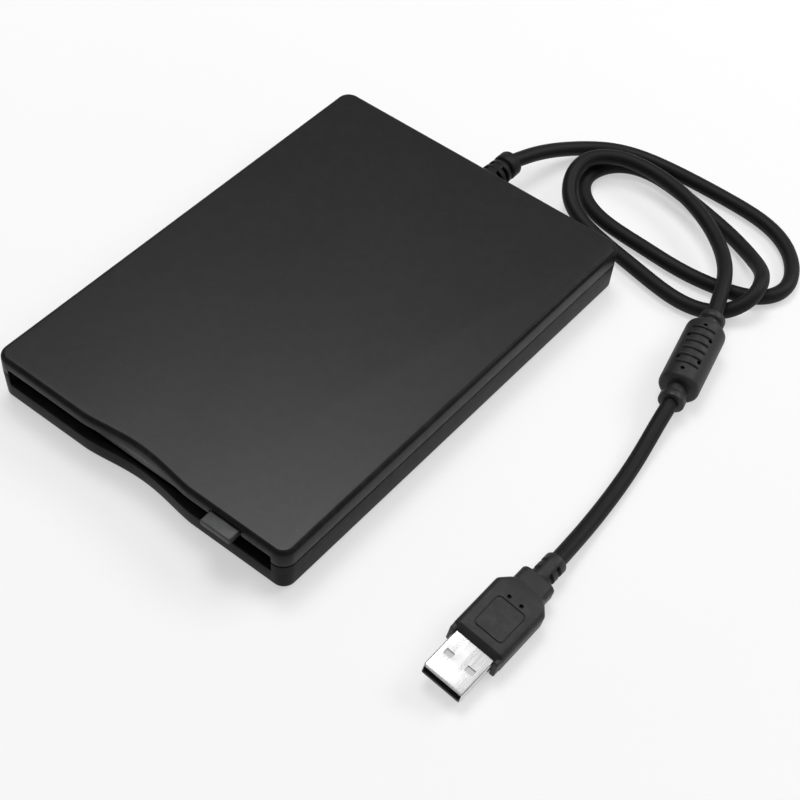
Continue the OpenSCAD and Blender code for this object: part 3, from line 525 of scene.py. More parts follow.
def smoothRoute(points, steps):
    p = [Vector(q) for q in points]
    e = [2 * p[0] - p[1]] + p + [2 * p[-1] - p[-2]]
    q = [e[i] + (2 * e[i] - e[i - 1] - e[i + 1]) / 6 for i in range(1, len(e) - 1)]
    q = [2 * q[0] - q[1]] + q + [2 * q[-1] - q[-2]]

    def blend(i, t):
        return ((1 - t) ** 3 * q[i - 1] + (3 * t ** 3 - 6 * t * t + 4) * q[i]
                + (3 * t * t + 3 * t + 1 - 3 * t ** 3) * q[i + 1] + t ** 3 * q[i + 2]) / 6

    last = len(q) - 3
    return [blend(i, k / steps) for i in range(1, last + 1) for k in range(steps)] + [blend(last, 1)]


def makeCord(name, points, s):
    line = [v * mm for v in smoothRoute(points, s["steps"])]
    data = bpy.data.curves.new(name, "CURVE")
    data.dimensions = "3D"
    data.bevel_depth = s["thick"] / 2 * mm
    data.bevel_resolution = s["sides"]
    data.use_fill_caps = True
    spline = data.splines.new("POLY")
    spline.points.add(len(line) - 1)
    for point, place in zip(spline.points, line):
        point.co = (*place, 1)
    spline.use_smooth = True
    data.materials.append(finishes["cord_vinyl"])
    cord = bpy.data.objects.new(name, data)
    scene.collection.objects.link(cord)
    length = sum((b - a).length for a, b in zip(line, line[1:]))
    return cord, length, line[0]


mainCord, mainLength, mainExit = makeCord("mainCord", cordSet["route"], cordSet)
plugCord, leadLength, leadExit = makeCord("plugCord", cordSet["lead"], cordSet)
settle(mainCord, "case", "cord_vinyl", "usb_cord")
settle(plugCord, "case", "cord_vinyl", "plug_lead")
print("cords:", round(mainLength, 4), round(leadLength, 4))


# the two shells of the case: seam is (inset, away from the split), a clip is (across, half length, heights),
# and round shapes are (radius, along)
caseSet = {
    "wide": 102.0, "frontY": -70.1, "backY": 73.9, "corner": 4.0, "cornerLeast": 0.8, "cornerSteps": 14,
    "wall": 1.4, "frontWall": 2.5, "bow": 0.12, "draft": 0.4, "draftFrom": 0.3,
    "baseZ": 1.0, "floorZ": 2.4, "splitZ": 10.2, "ceilZ": 14.6, "topZ": 16.0,
    "edgeTop": 1.5, "edgeLow": 1.0, "edgeSteps": 12,
    "scoopWide": 38.0, "scoopDeep": 1.9, "scoopPower": 1.5, "step": 1.0, "backStep": 8.0,
    "slotHalf": 46.3, "slotLow": 6.6, "slotHigh": 12.3, "slotRound": 0.6, "slotLean": 0.03,
    "notch": (26.1, 36.5, 14.5), "holeX": 3.0, "holeR": 3.4, "holeSteps": 24,
    "seam": ((0.7, 0.0), (0.7, 0.15), (0.2, 0.17), (0.06, 0.26), (0.0, 0.45)), "lipRound": 0.2,
    "clipY": (-40, 0, 40), "clips": (((-1.4, -0.6), 4.0, (-4.0, 3.0)), ((-1.0, 0.4), 3.8, (1.2, 2.8))),
    "hangerX": (-46.9, 24.9), "hangerWide": 0.9, "hangerY": (-0.3, 2.6), "hangerZ": (0.1, 0.3),
    "pegs": [(-31, 66, 0), (-12, 66, 0)], "peg": [(1.8, 2.1), (1.8, 4.3), (1.7, 4.4)], "pegSteps": 24,
}
footSet = {"places": [(x, y, 0) for x in (-42, 42) for y in (-60.1, 63.9)], "recess": [(4.05, 0), (4.05, 1.4)],
           "profile": [(3.3, 0), (3.52, 0.05), (3.72, 0.2), (3.9, 0.55), (3.98, 1.0), (3.98, 1.38)]}
screwSet = {"places": [(x, y, 0) for x in (-40, 40) for y in (-50.1, 51.9)],
            "profile": [(1.9, 1.22), (2.15, 1.3), (2.28, 1.5), (2.28, 1.9), (1.2, 1.9), (1.2, 4.1), (0.9, 4.2)],
            "hole": [(2.6, 0), (2.6, 1.9), (1.45, 1.9), (1.45, 4)], "steps": 40,
            "boss": [(3.2, 2.3), (3.2, 2.85), (3.05, 3.0), (1.45, 3.0), (1.45, 2.3)],
            "bars": [((-1.35, -0.24, 0.9), (1.35, 0.24, 1.75)), ((-0.24, -1.35, 0.91), (0.24, 1.35, 1.74))],
            "barRound": 0.06, "turns": (0.3, 1.0, 0.7, 0.1)}


def scoopAt(x):
    s = caseSet
    across = max(-1, min(1, x / s["scoopWide"]))
    return s["scoopDeep"] * max(0.0, math.cos(math.pi * across)) ** s["scoopPower"]


def roundCorners(points, radius, steps=5, most=0.45):
    out = [points[0]]
    for before, p, after in zip(points, points[1:], points[2:]):
        a = Vector(before) - Vector(p)
        b = Vector(after) - Vector(p)
        r = min(radius, a.length * most, b.length * most)
        a = Vector(p) + a.normalized() * r
        b = Vector(p) + b.normalized() * r
        for k in range(steps + 1):
            t = k / steps
            out.append(tuple((1 - t) ** 2 * a + 2 * t * (1 - t) * Vector(p) + t * t * b))
    return out + [points[-1]]


def fillRun(points, step):
    out = []
    for a, b in zip(points, points[1:]):
        n = max(1, math.ceil(abs(b[0] - a[0]) / step))
        out += [(a[0] + (b[0] - a[0]) * k / n, a[1] + (b[1] - a[1]) * k / n) for k in range(n)]
    return out + [points[-1]]


# stations round the outline: (kind, x or angle, height of the rim, side, end)
def caseStations(upper):
    s = caseSet
    split = s["splitZ"]
    run = s["wide"] / 2 - s["corner"]
    slotZ = s["slotHigh"] if upper else s["slotLow"]
    h, lean = s["slotHalf"], s["slotLean"]
    rim = [(-run, split), (-h - lean, split), (-h, slotZ)]
    if upper:
        n0, n1, nz = s["notch"]
        rim += [(n0 - lean, slotZ), (n0, nz), (n1, nz), (n1 + lean, slotZ)]
    rim += [(h, slotZ), (h + lean, split), (run, split)]
    front = fillRun(roundCorners(rim, s["slotRound"]), s["step"])
    sign = 1 if upper else -1
    arc = [math.radians(180 * k / s["holeSteps"]) for k in range(s["holeSteps"] + 1)]
    hole = [(s["holeX"] + s["holeR"] * math.cos(t), split + sign * s["holeR"] * math.sin(t)) for t in arc]
    back = fillRun([(run, split)] + hole + [(-run, split)], s["backStep"])
    out = [("front", x, z, 0, 0) for x, z in front[1:-1]]
    quarter = math.pi / 2

    def corner(start, side, end):
        n = s["cornerSteps"]
        return [("arc", start + quarter * k / n, split, side, end) for k in range(n + 1)]

    out += corner(-quarter, 1, -1) + corner(0, 1, 1)
    out += [("back", x, z, 0, 0) for x, z in back[1:-1]]
    return out + corner(quarter, -1, 1) + corner(2 * quarter, -1, -1)


def casePoint(station, inset, z, frontIn=None, share=1.0):
    s = caseSet
    kind, u, rim, side, end = station
    frontY = s["frontY"] + inset if frontIn is None else frontIn
    if kind == "front":
        return (u, frontY + share * scoopAt(u), z)
    if kind == "back":
        return (u, s["backY"] - inset, z)
    r = max(s["corner"] - inset, s["cornerLeast"])
    y = frontY + r if end < 0 else s["backY"] - inset - r
    return (side * (s["wide"] / 2 - inset - r) + r * math.cos(u), y + r * math.sin(u), z)


# the gap between the shells, and only a soft edge where the rim is the slot's
def rimInset(station, inset):
    return inset if station[2] == caseSet["splitZ"] else min(inset, caseSet["lipRound"])


def makeTopCover():
    s = caseSet
    stations = caseStations(True)
    innerFront = s["frontY"] + s["frontWall"]
    rings = [[casePoint(t, s["wall"], s["ceilZ"], innerFront, s["bow"]) for t in stations],
             [casePoint(t, s["wall"], t[2], innerFront, s["bow"]) for t in stations]]
    rings += [[casePoint(t, rimInset(t, inset), t[2] + rise) for t in stations] for inset, rise in s["seam"]]
    for k in range(s["edgeSteps"] + 1):
        a = math.pi / 2 * k / s["edgeSteps"]
        inset = s["edgeTop"] * (1 - math.cos(a))
        rings.append([casePoint(t, inset, s["topZ"] - s["edgeTop"] * (1 - math.sin(a))) for t in stations])
    shapes = [loft(rings)]
    inner = s["wide"] / 2 - s["wall"]
    for side in (-1, 1):
        for y in s["clipY"]:
            for reach, half, (low, high) in s["clips"]:
                x0, x1 = sorted(side * (inner + v) for v in reach)
                shapes.append(shapeBox((x0, y - half, s["splitZ"] + low), (x1, y + half, s["splitZ"] + high)))
    y0, y1 = (innerFront + v for v in s["hangerY"])
    z0, z1 = s["slotHigh"] + s["hangerZ"][0], s["ceilZ"] + s["hangerZ"][1]
    shapes += [shapeBox((x, y0, z0), (x + s["hangerWide"], y1, z1)) for x in s["hangerX"]]
    return newPiece("topCover", shapes, "case_plastic")


def makeBottomShell():
    s = caseSet
    stations = caseStations(False)
    innerFront = s["frontY"] + s["frontWall"]
    top, low = s["splitZ"] - s["draftFrom"], s["baseZ"] + s["edgeLow"]

    def lean(z):
        return s["draft"] * max(0.0, top - z) / (top - low)

    def leanIn(z):
        return s["draft"] * (s["splitZ"] - z) / (s["splitZ"] - s["floorZ"])

    rings = []
    for k in range(s["edgeSteps"] + 1):
        a = math.pi / 2 * k / s["edgeSteps"]
        inset = s["draft"] + s["edgeLow"] * (1 - math.sin(a))
        rings.append([casePoint(t, inset, s["baseZ"] + s["edgeLow"] * (1 - math.cos(a))) for t in stations])
    for inset, drop in reversed(s["seam"]):
        rings.append([casePoint(t, rimInset(t, inset) + lean(t[2] - drop), t[2] - drop) for t in stations])
    rings.append([casePoint(t, s["wall"] + leanIn(t[2]), t[2], innerFront + leanIn(t[2]), s["bow"])
                  for t in stations])
    rings.append([casePoint(t, s["wall"] + s["draft"], s["floorZ"], innerFront + s["draft"], s["bow"])
                  for t in stations])
    piece = newPiece("bottomShell", [loft(rings)], "case_plastic")
    up = (0, 0, 1)
    steps = screwSet["steps"]
    holes = [lathe(screwSet["hole"], p, up, steps) for p in screwSet["places"]]
    holes += [lathe(footSet["recess"], p, up) for p in footSet["places"]]
    cutAway(piece, holes)
    bosses = [lathe(screwSet["boss"], p, up, steps, True) for p in screwSet["places"]]
    bosses += [lathe(s["peg"], p, up, s["pegSteps"]) for p in s["pegs"]]
    addShapes(piece, bosses)
    return piece


topCover = makeTopCover()
bottomShell = makeBottomShell()
settle(topCover, "case", "case_plastic", "top_cover")
settle(bottomShell, "case", "case_plastic", "bottom_shell")
print("case shells made")


# Geometry Nodes: the last nodes of each group
def endGroup(tree, shapes, start, end):
    real = put(tree, "GeometryNodeRealizeInstances", {"Geometry": shapes})
    paint = put(tree, "GeometryNodeSetMaterial", {"Geometry": (real, "Geometry"), "Material": (start, "Finish")})
    feed(tree, end, {"Pieces": (paint, "Geometry")})
    return tree


# Geometry Nodes: one shape set out on points, each point with its own turn
def makeSetOut():
    tree, start, end = newGroup("setOut", "Geometry", {"Points": "Geometry", "Shape": "Object", "Finish": "Material"},
                                ["Pieces"])
    source = put(tree, "GeometryNodeObjectInfo", {"Object": (start, "Shape")}, transform_space="ORIGINAL")
    turn = put(tree, "GeometryNodeInputNamedAttribute", {"Name": "turn"}, data_type="FLOAT_VECTOR")
    euler = put(tree, "FunctionNodeEulerToRotation", {"Euler": (turn, "Attribute")})
    spread = put(tree, "GeometryNodeInstanceOnPoints", {
        "Points": (start, "Points"), "Instance": (source, "Geometry"), "Rotation": (euler, "Rotation")})
    return endGroup(tree, (spread, "Instances"), start, end)


# Geometry Nodes: a round section along a line
def sweepAlong(tree, line, thick):
    section = put(tree, "GeometryNodeCurvePrimitiveCircle", {"Resolution": 8, "Radius": thick})
    return put(tree, "GeometryNodeCurveToMesh", {
        "Curve": line, "Profile Curve": (section, "Curve"), "Fill Caps": True}), "Mesh"


# Geometry Nodes: a wire wound round an axis
def makeWinding():
    tree, start, end = newGroup(
        "winding", "Geometry",
        {"Turns": 5.0, "Radius": 0.001, "Length": 0.01, "Wire": 0.0001, "Finish": "Material"}, ["Pieces"])
    radius = start, "Radius"
    spiral = put(tree, "GeometryNodeCurveSpiral", {
        "Resolution": 24, "Rotations": (start, "Turns"), "Start Radius": radius, "End Radius": radius,
        "Height": (start, "Length")})
    return endGroup(tree, sweepAlong(tree, (spiral, "Curve"), (start, "Wire")), start, end)


# Geometry Nodes: a row of curved ribs along an axis
def makeRibRow():
    tree, start, end = newGroup(
        "ribRow", "Geometry",
        {"Count": 7, "Pitch": 0.003, "Radius": 0.006, "Sweep": 1.0, "Thick": 0.0003, "Finish": "Material"},
        ["Pieces"])
    sweep = start, "Sweep"
    arc = put(tree, "GeometryNodeCurveArc", {
        "Resolution": 24, "Radius": (start, "Radius"), "Sweep Angle": sweep,
        "Start Angle": reckon(tree, "MULTIPLY_ADD", sweep, -0.5, math.pi / 2)})
    rib = sweepAlong(tree, (arc, "Curve"), (start, "Thick"))
    step = put(tree, "ShaderNodeCombineXYZ", {"Z": (start, "Pitch")})
    row = put(tree, "GeometryNodeMeshLine", {"Count": (start, "Count"), "Offset": (step, "Vector")})
    spread = put(tree, "GeometryNodeInstanceOnPoints", {"Points": (row, "Mesh"), "Instance": rib})
    return endGroup(tree, (spread, "Instances"), start, end)


setOut, winding, ribRow = makeSetOut(), makeWinding(), makeRibRow()


def growPiece(name, tree, values, place=None, base=None):
    holder = bpy.data.objects.new(name, base or bpy.data.meshes.new(name + "Base"))
    scene.collection.objects.link(holder)
    change = holder.modifiers.new("grow", "NODES")
    change.node_group = tree
    for item in tree.interface.items_tree:
        if item.item_type == "SOCKET" and item.in_out == "INPUT" and item.name in values:
            change[item.identifier] = values[item.name]
    mesh = keepChange(holder, change)
    mesh.name = name
    if place is not None:
        mesh.transform(place)
    cleanMesh(mesh)
    return holder


def pointMesh(name, places, turns=None):
    mesh = bpy.data.meshes.new(name)
    mesh.from_pydata([tuple(c * mm for c in p) for p in places], [], [])
    attribute = mesh.attributes.new("turn", "FLOAT_VECTOR", "POINT")
    flat = [c for t in (turns or [(0, 0, 0)] * len(places)) for c in t]
    attribute.data.foreach_set("vector", flat)
    return mesh


def setOutPiece(name, shape, places, slotName, turns=None):
    piece = growPiece(name, setOut, {"Shape": shape, "Finish": finishes[slotName]},
                      base=pointMesh(name + "Points", places, turns))
    bpy.data.objects.remove(shape)
    return piece


def axisPlace(start, along):
    axis = Vector(along).normalized()
    side, lift = axisFrame(axis)
    turn = Matrix((-side, lift, axis)).transposed().to_4x4()
    return Matrix.Translation(Vector(start) * mm) @ turn


# feet and case screws
foot = newPiece("foot", [lathe(footSet["profile"], (0, 0, 0), (0, 0, 1))], "foot_rubber")
feet = setOutPiece("feet", foot, footSet["places"], "foot_rubber")
settle(feet, "case", "foot_rubber", "rubber_feet")


def makeScrew(s):
    screw = newPiece("screw", [lathe(s["profile"], (0, 0, 0), (0, 0, 1))], "zinc_steel")
    for low, high in s["bars"]:
        cutAway(screw, [shapeBox(low, high, s["barRound"])])
    return screw


caseScrews = setOutPiece("caseScrews", makeScrew(screwSet), screwSet["places"], "zinc_steel",
                         [(0, 0, t) for t in screwSet["turns"]])
settle(caseScrews, "case", "zinc_steel", "case_screws")


# eject button
buttonSet = {"low": (26.4, -73.9, 12.3), "high": (36.2, -67.5, 14.2), "round": 0.4, "steps": 6,
             "seat": ((28.05, -69.5, 12.77), (34.55, -67.1, 13.33)), "seatRound": 0.05}


def makeButton(s):
    piece = newPiece("ejectButton", [roundBox(s["low"], s["high"], s["round"], s["steps"])], "button_plastic")
    cutAway(piece, [roundBox(*s["seat"], s["seatRound"], 1)])
    return piece


ejectButton = makeButton(buttonSet)
settle(ejectButton, "slide", "button_plastic", "eject_button")


# dust flap with its pivots
flapSet = {"x": (-45.6, -41.6, 24.6), "y": (-67.0, -66.2), "z": (7.4, 11.85, 13.35), "axisY": -66.3,
           "pivot": 0.7, "barrel": 0.9, "ends": (-46.9, 25.7), "chamfer": 0.1, "steps": 32,
           "round": 0.3, "roundSteps": 5, "neckRound": 0.1, "neckThin": 0.02, "neckSunk": 0.6}


def makeFlap(s):
    x0, x1, x2 = s["x"]
    y0, y1 = s["y"]
    z0, z1, z2 = s["z"]
    thin = s["neckThin"]
    shapes = [roundBox((x0, y0, z0), (x2, y1, z1), s["round"], s["roundSteps"]),
              shapeBox((x1, y0 + thin, z1 - s["neckSunk"]), (x2 - thin, y1 - thin, z2), s["neckRound"])]
    r, b, c = s["pivot"], s["barrel"], s["chamfer"]
    start, stop = s["ends"]
    long = stop - start
    pivot = [(r - c, 0), (r, c), (r, long - c), (r - c, long)]
    for profile, x in ((pivot, start), ([(b, 0), (b, x2 - x1)], x1)):
        shapes.append(lathe(profile, (x, s["axisY"], z2), (1, 0, 0), s["steps"]))
    return newPiece("dustFlap", shapes, "flap_plastic")


dustFlap = makeFlap(flapSet)
settle(dustFlap, "flap", "flap_plastic", "dust_flap")
print("button, flap, feet and screws made")


# strain relief at the back, slotted on both sides: stations and tail are (along, radius)
reliefSet = {
    "centre": (3.0, 73.9, 10.2), "steps": 72, "slots": (1.7, 4.5), "slotWide": 1.2, "slotDeep": 1.5,
    "slotSunk": 0.12, "slotEase": 0.15,
    "stations": [(-3.1, 4.0), (-3.0, 4.2), (-1.9, 4.2), (-1.8, 4.1), (-1.8, 3.3), (0.0, 3.3), (0.0, 4.1),
                 (0.15, 4.28), (1.2, 4.3)],
    "tail": [(6.9, 3.92), (7.1, 3.8), (7.4, 3.2), (7.55, 3.1), (8.1, 3.1), (8.25, 3.3), (8.45, 3.8), (8.6, 3.95),
             (8.8, 4.0), (11.7, 3.95), (12.0, 3.82), (12.2, 3.5)],
}


def roundSection(centre, along, r, cut, steps):
    out = []
    for k in range(steps):
        t = 2 * math.pi * k / steps
        x = r * math.cos(t)
        if cut is not None:
            x = max(-cut, min(cut, x))
        out.append((centre[0] + x, centre[1] + along, centre[2] + r * math.sin(t)))
    return out


def makeRelief(s):
    (yA, rA), (yB, rB) = s["stations"][-1], s["tail"][0]

    def radius(y):
        return rA + (rB - rA) * (y - yA) / (yB - yA)

    stations = [(y, r, None) for y, r in s["stations"]]
    for y0 in s["slots"]:
        y1 = y0 + s["slotWide"]
        r0, r1 = radius(y0) - s["slotSunk"], radius(y1) - s["slotSunk"]
        stations += [(y0 - s["slotEase"], radius(y0), None), (y0, r0, None), (y0, r0, s["slotDeep"]),
                     (y1, r1, s["slotDeep"]), (y1, r1, None), (y1 + s["slotEase"], radius(y1), None)]
    stations += [(y, r, None) for y, r in s["tail"]]
    rings = [roundSection(s["centre"], y, r, cut, s["steps"]) for y, r, cut in stations]
    return newPiece("strainRelief", [loft(rings)], "cord_vinyl")


strainRelief = makeRelief(reliefSet)
settle(strainRelief, "case", "cord_vinyl", "strain_relief")


# moulded bead with its grip ribs and vent holes: ends are (radius it starts from, change, along)
beadSet = {
    "start": (82.6, 74.5, 7.3), "end": (90.3, 41.7, 5.55), "r": 5.8, "collar": 3.75, "neck": 3.1, "steps": 80,
    "ends": [("collar", -0.4, 0.0), ("collar", -0.1, 0.1), ("collar", 0.0, 0.4), ("collar", 0.0, 1.9),
             ("collar", -0.12, 2.15), ("neck", 0.2, 2.4), ("neck", 0.0, 2.7), ("neck", 0.0, 5.1), ("neck", 0.25, 5.2),
             ("r", -1.3, 5.2), ("r", -0.8, 5.3), ("r", -0.4, 5.55), ("r", -0.13, 5.95), ("r", -0.02, 6.4),
             ("r", 0.0, 6.9)],
    "ribs": 6, "ribFirst": 9.3, "ribPitch": 2.75, "ribThick": 0.4, "ribSweep": 66.0, "ribProud": 0.1,
    "vents": [(8.4, 1), (12.7, 34), (12.7, -31), (21.3, 34), (21.3, -29), (25.4, 5)],
    "ventDeep": 1.0, "vent": [(0.56, 0.0), (0.7, 2.0)], "ventSteps": 20,
}


def makeBead(s):
    a, b = Vector(s["start"]), Vector(s["end"])
    length, axis = (b - a).length, (b - a).normalized()
    half = [(s[base] + grow, along) for base, grow, along in s["ends"]]
    profile = half + [(r, length - along) for r, along in reversed(half)]
    piece = newPiece("bead", [lathe(profile, a, axis, s["steps"])], "bead_vinyl")
    side, lift = axisFrame(axis)
    holes = []
    for along, angle in s["vents"]:
        t = math.radians(angle)
        out = lift * math.cos(t) + side * math.sin(t)
        rim = a + axis * along + out * (s["r"] - s["ventDeep"])
        holes.append(lathe(s["vent"], rim, out, s["ventSteps"]))
    cutAway(piece, holes)
    ribs = growPiece("beadRibs", ribRow,
                     {"Count": s["ribs"], "Pitch": s["ribPitch"] * mm, "Radius": (s["r"] + s["ribProud"]) * mm,
                      "Sweep": math.radians(s["ribSweep"]), "Thick": s["ribThick"] * mm,
                      "Finish": finishes["bead_vinyl"]},
                     axisPlace(a + axis * s["ribFirst"], axis))
    return piece, ribs


bead, beadRibs = makeBead(beadSet)
settle(bead, "case", "bead_vinyl", "ferrite_bead")
settle(beadRibs, "case", "bead_vinyl")


# plug, built lying along Y round its own middle, then turned and placed: sections are
# (along, width, height, corner), and start and stop are (along, change of radius)
plugSet = {
    "place": (97.5, -53.6, 4.979), "roll": 10.0, "steps": 8, "h": 8.0, "sharp": 26.0,
    "sections": [(-1.1, 14.7, 4.9, 1.2), (-1.02, 14.9, 5.15, 1.4), (0.25, 15.35, 7.7, 1.9), (0.4, 15.4, 7.92, 2.0),
                 (0.6, 15.4, 8.0, 2.0), (16.6, 15.4, 8.0, 2.0), (17.0, 15.3, 7.97, 2.0),
                 (17.5, 14.7, 7.85, 2.0), (19.7, 11.4, 7.1, 2.0), (20.1, 10.6, 6.82, 2.0),
                 (20.5, 10.15, 6.65, 2.0), (21.1, 10.0, 6.6, 2.0), (24.5, 10.0, 6.6, 2.0), (24.9, 9.8, 6.4, 2.1),
                 (25.1, 9.3, 6.0, 2.2)],
    "ears": {"x": (6.0, 7.5), "y": (-1.9, 0.6), "z": 3.0, "r": 0.35, "steps": 5},
    "relief": {"r": 3.15, "from": 25.0, "to": 33.2, "slots": (26.5, 29.5), "slotWide": 1.25, "slotDeep": 1.6,
               "start": [(0.0, -0.1), (0.5, 0.0)], "stop": [(-0.5, 0.0), (-0.12, -0.2), (0.0, -0.45)], "steps": 64},
    "panel": {"x": (-4.3, 4.8), "y": (2.4, 13.1), "deep": 0.28, "r": 1.4, "line": 0.34, "lean": 0.08,
              "edge": 0.1, "over": 1.0},
    "dots": [(-1.9, 14.3), (1.9, 14.3)], "dot": [(0.5525, 0.0), (0.65, 2.0)], "dotDeep": 0.9, "dotSteps": 24,
}


def roundRect(w, h, r, steps):
    out = []
    for sx, sz, start in ((1, 1, 0), (-1, 1, 90), (-1, -1, 180), (1, -1, 270)):
        for k in range(steps + 1):
            t = math.radians(start + 90 * k / steps)
            out.append((sx * (w / 2 - r) + r * math.cos(t), sz * (h / 2 - r) + r * math.sin(t)))
    return out


def makePlugBody(s):
    rings = [[(x, y, z) for x, z in roundRect(w, h, r, s["steps"])] for y, w, h, r in s["sections"]]
    tail = s["relief"]
    r = tail["r"]
    stations = [(tail["from"] + along, r + grow, None) for along, grow in tail["start"]]
    for y in tail["slots"]:
        stations += [(y, r, None), (y, r, tail["slotDeep"]), (y + tail["slotWide"], r, tail["slotDeep"]),
                     (y + tail["slotWide"], r, None)]
    stations += [(tail["to"] + along, r + grow, None) for along, grow in tail["stop"]]
    tailRings = [roundSection((0, 0, 0), *station, tail["steps"]) for station in stations]
    piece = newPiece("plugBody", [loft(rings)], "plug_vinyl", s["sharp"])
    p = s["panel"]
    x0, x1 = p["x"]
    y0, y1 = p["y"]
    top = s["h"] / 2
    middle = ((x0 + x1) / 2, (y0 + y1) / 2)

    def outline(grow, z):
        flat = roundRect(x1 - x0 + 2 * grow, y1 - y0 + 2 * grow, p["r"] + grow, s["steps"])
        return [(middle[0] + x, middle[1] + y, z) for x, y in flat]

    deep, over = top - p["deep"], top + p["over"]
    lean = -p["line"] - p["lean"]
    groove = loft([outline(0, over), outline(0, deep), outline(-p["line"], deep), outline(lean, top - p["edge"]),
                   outline(lean, over)], ring=True)
    dots = [lathe(s["dot"], (x, y, top - s["dotDeep"]), (0, 0, 1), s["dotSteps"]) for x, y in s["dots"]]
    cutAway(piece, [groove] + dots)
    ear = s["ears"]
    ears = []
    for side in (-1, 1):
        earX = sorted(side * v for v in ear["x"])
        low, high = zip(earX, ear["y"], (-ear["z"], ear["z"]))
        ears.append(roundBox(low, high, ear["r"], ear["steps"]))
    addShapes(piece, [loft(tailRings)] + ears)
    return piece


def placePlug(piece, s):
    turn = Matrix.Rotation(math.radians(s["roll"]), 4, "Y")
    piece.data.transform(Matrix.Translation(Vector(s["place"]) * mm) @ turn)


plugBody = makePlugBody(plugSet)
placePlug(plugBody, plugSet)
settle(plugBody, "case", "plug_vinyl", "plug_overmould")

# a ring of the plug shell is (end of the shell, along from there, inset, corner)
shellSet = {
    "w": 12.0, "h": 4.5, "y": (-13.5, -1.1), "wall": 0.3, "steps": 6, "sharp": 25.0,
    "rings": [(1, 0.0, 0.0, 0.55), (0, 0.6, 0.0, 0.55), (0, 0.3, 0.048, 0.55), (0, 0.08, 0.12, 0.495),
              (0, 0.0, 0.18, 0.44), (0, 0.0, 0.3, 0.3), (0, 0.6, 0.3, 0.3), (1, 0.0, 0.3, 0.3)],
    "windowX": 3.25, "window": (2.4, 1.8), "windowY": -8.1, "windowRound": 0.2, "windowSteps": 3,
    "insideFrom": 0.3, "insideOver": 0.05,
}


def makePlugShell(s):
    w, h = s["w"], s["h"]
    rings = []
    for end, along, inset, r in s["rings"]:
        flat = roundRect(w - 2 * inset, h - 2 * inset, r, s["steps"])
        rings.append([(x, s["y"][end] + along, z) for x, z in flat])
    piece = newPiece("plugShell", [loft(rings, ring=True)], "plug_steel", s["sharp"])
    wide, long = s["window"]
    cuts = []
    for side in (-1, 1):
        x, y = side * s["windowX"], s["windowY"]
        low, high = (x - wide / 2, y, -h), (x + wide / 2, y + long, h)
        cuts.append(roundBox(low, high, s["windowRound"], s["windowSteps"]))
    cutAway(piece, cuts, s["sharp"])
    # painted shade in the hollow of the shell: its inner faces are marked for the dark tone deep
    inner = s["insideOver"] - s["wall"]
    markShadedInside(piece.data, s["y"][0] + s["insideFrom"], w / 2 + inner, h / 2 + inner)
    return piece


plugShell = makePlugShell(shellSet)
placePlug(plugShell, plugSet)
settle(plugShell, "case", "plug_steel", "plug_shell")
print("cord ends made")


def woundPiece(name, s, length, start, slotName):
    values = {"Turns": s["turns"], "Radius": s["r"] * mm, "Length": length, "Wire": s["wire"] * mm,
              "Finish": finishes[slotName]}
    return growPiece(name, winding, values, axisPlace(start, (0, 1, 0)))


# thread on the lead screw
threadSet = {"turns": 5.3, "r": 1.12, "length": 15.9, "wire": 0.18, "start": (15.0, 35.7, 8.4)}
thread = woundPiece("screwThread", threadSet, threadSet["length"] * mm, threadSet["start"], "ground_steel")
settle(thread, "screw", "ground_steel")

# tension springs, which in the drive lengthen with the slide; here wound at the fixed length of their part box
springSet = {"turns": 12.0, "r": 0.6, "wire": 0.13, "hold": 1.0}


def makeSprings(s):
    low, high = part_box("eject_springs")
    reach = (s["r"] + s["wire"]) * mm
    start, stop = low[1] + s["wire"] * mm, high[1] - s["wire"] * mm
    height = (low[2] + high[2]) / 2
    first, second = (woundPiece("ejectSpring", s, stop - start, (x / mm, start / mm, height / mm), "spring_steel")
                     for x in (low[0] + reach, high[0] - reach))
    joinPiece(first, second)
    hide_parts("eject_springs")
    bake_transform(first)


makeSprings(springSet)

# legs of one chip
legSet = {"x": (-36.4, -25.6), "y": 41.1, "z": 5.4, "pitch": 1.25, "count": 7,
          "box": ((-0.55, -0.2, 0.0), (0.55, 0.2, 0.35)), "round": 0.08}
chipLeg = newPiece("chipLeg", [shapeBox(*legSet["box"], legSet["round"])], "zinc_steel")
legPlaces = [(x, legSet["y"] + legSet["pitch"] * k, legSet["z"]) for x in legSet["x"] for k in range(legSet["count"])]
chipLegs = setOutPiece("chipLegs", chipLeg, legPlaces, "zinc_steel")
settle(chipLegs, "case", "zinc_steel")


# floor and light
stageSet = {"reach": 7.0, "rise": 0.9, "steps": 64, "pale": 0.94, "rough": 0.9, "share": (0.5, 1.0),
            "fade": (0.12, 0.42), "middle": (0.03, 0.03, 0.0)}
lightSet = {
    "horizon": 0.06, "sky": 0.8, "low": 0.5, "high": 1.0,
    "lamps": [
        {"name": "overhead", "place": (-0.28, 0.26, 1.2), "size": (0.55, 0.55), "power": 6.8},
        {"name": "rear", "place": (0.5, 0.85, 0.75), "size": (0.7, 0.45), "power": 5.5},
    ],
}


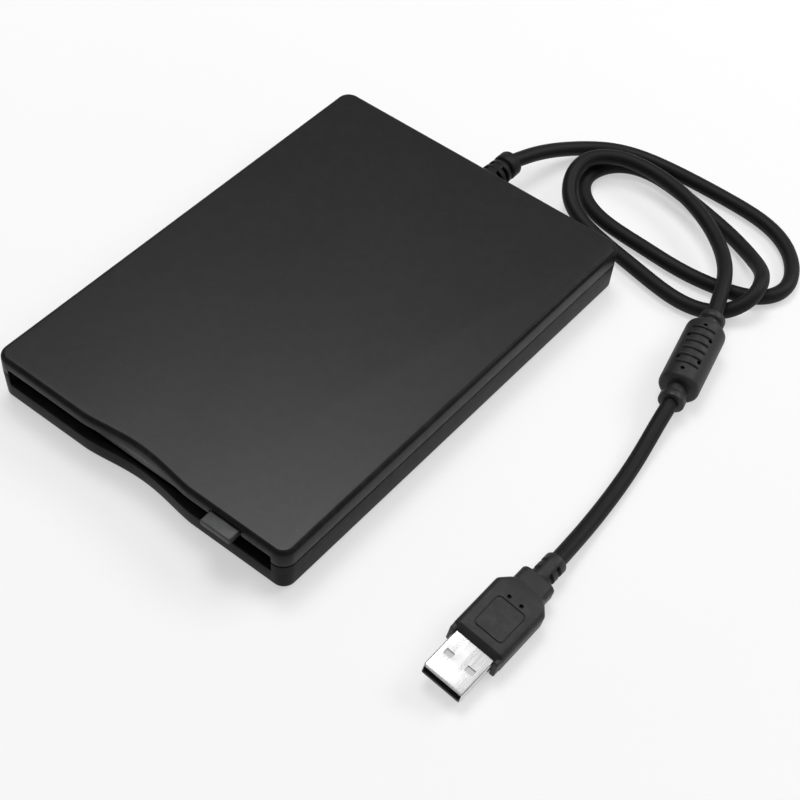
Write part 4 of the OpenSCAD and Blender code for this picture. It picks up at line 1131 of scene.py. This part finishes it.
# bright to the camera away from the object, and clear from below
def floorFinish(s):
    material, tree, bsdf = newFinish("paleFloor")
    feed(tree, bsdf, {"Base Color": tone(s["pale"]), "Roughness": s["rough"], "Specular IOR Level": 0.0})
    glow = put(tree, "ShaderNodeEmission", {"Color": tone(1.0), "Strength": 1.0})
    path = put(tree, "ShaderNodeLightPath")
    seen = reckon(tree, "MAXIMUM", (path, "Is Camera Ray"), (path, "Is Glossy Ray"))
    clear = reckon(tree, "MAXIMUM", seen, (path, "Is Transmission Ray"))
    away = put(tree, "ShaderNodeVectorMath", {0: (put(tree, "ShaderNodeTexCoord"), "Object"), 1: s["middle"]},
               operation="DISTANCE")
    share = reckon(tree, "MULTIPLY", clear, stretch(tree, (away, "Value"), *s["fade"], *s["share"]))
    above = put(tree, "ShaderNodeMixShader", {0: share, 1: (bsdf, "BSDF"), 2: (glow, "Emission")})
    side = put(tree, "ShaderNodeNewGeometry")
    below = put(tree, "ShaderNodeBsdfTransparent")
    last = put(tree, "ShaderNodeMixShader", {0: (side, "Backfacing"), 1: (above, "Shader"), 2: (below, "BSDF")})
    feed(tree, tree.nodes["Material Output"], {"Surface": (last, "Shader")})
    return material


# a disc with a low wall round it
def makeFloor(s):
    count = s["steps"]
    turns = [2 * math.pi * k / count for k in range(count)]
    edge = [(s["reach"] * math.cos(t), s["reach"] * math.sin(t), 0.0) for t in turns]
    rim = [(x, y, s["rise"]) for x, y, z in edge]
    wall = [(k, count + k, count + (k + 1) % count, (k + 1) % count) for k in range(count)]
    mesh = bpy.data.meshes.new("floor")
    mesh.from_pydata(edge + rim, [], [tuple(range(count))] + wall)
    mesh.materials.append(floorFinish(s))
    floor = bpy.data.objects.new("floor", mesh)
    scene.collection.objects.link(floor)


def makeLight(s):
    world = bpy.data.worlds.new("studio")
    scene.world = world
    world.use_nodes = True
    tree = world.node_tree
    split = put(tree, "ShaderNodeSeparateXYZ", {"Vector": (put(tree, "ShaderNodeTexCoord"), "Generated")})
    rise = stretch(tree, (split, "Z"), s["low"], s["high"], s["horizon"], s["sky"])
    feed(tree, tree.nodes["Background"], {"Color": tone(1.0), "Strength": rise})
    for lamp in s["lamps"]:
        data = bpy.data.lights.new(lamp["name"], "AREA")
        data.shape = "RECTANGLE"
        data.size, data.size_y = lamp["size"]
        data.energy = lamp["power"]
        light = bpy.data.objects.new(lamp["name"], data)
        light.location = lamp["place"]
        light.rotation_euler = (-Vector(lamp["place"])).to_track_quat("-Z", "Y").to_euler()
        scene.collection.objects.link(light)


makeFloor(stageSet)
makeLight(lightSet)
print("stage and light set")
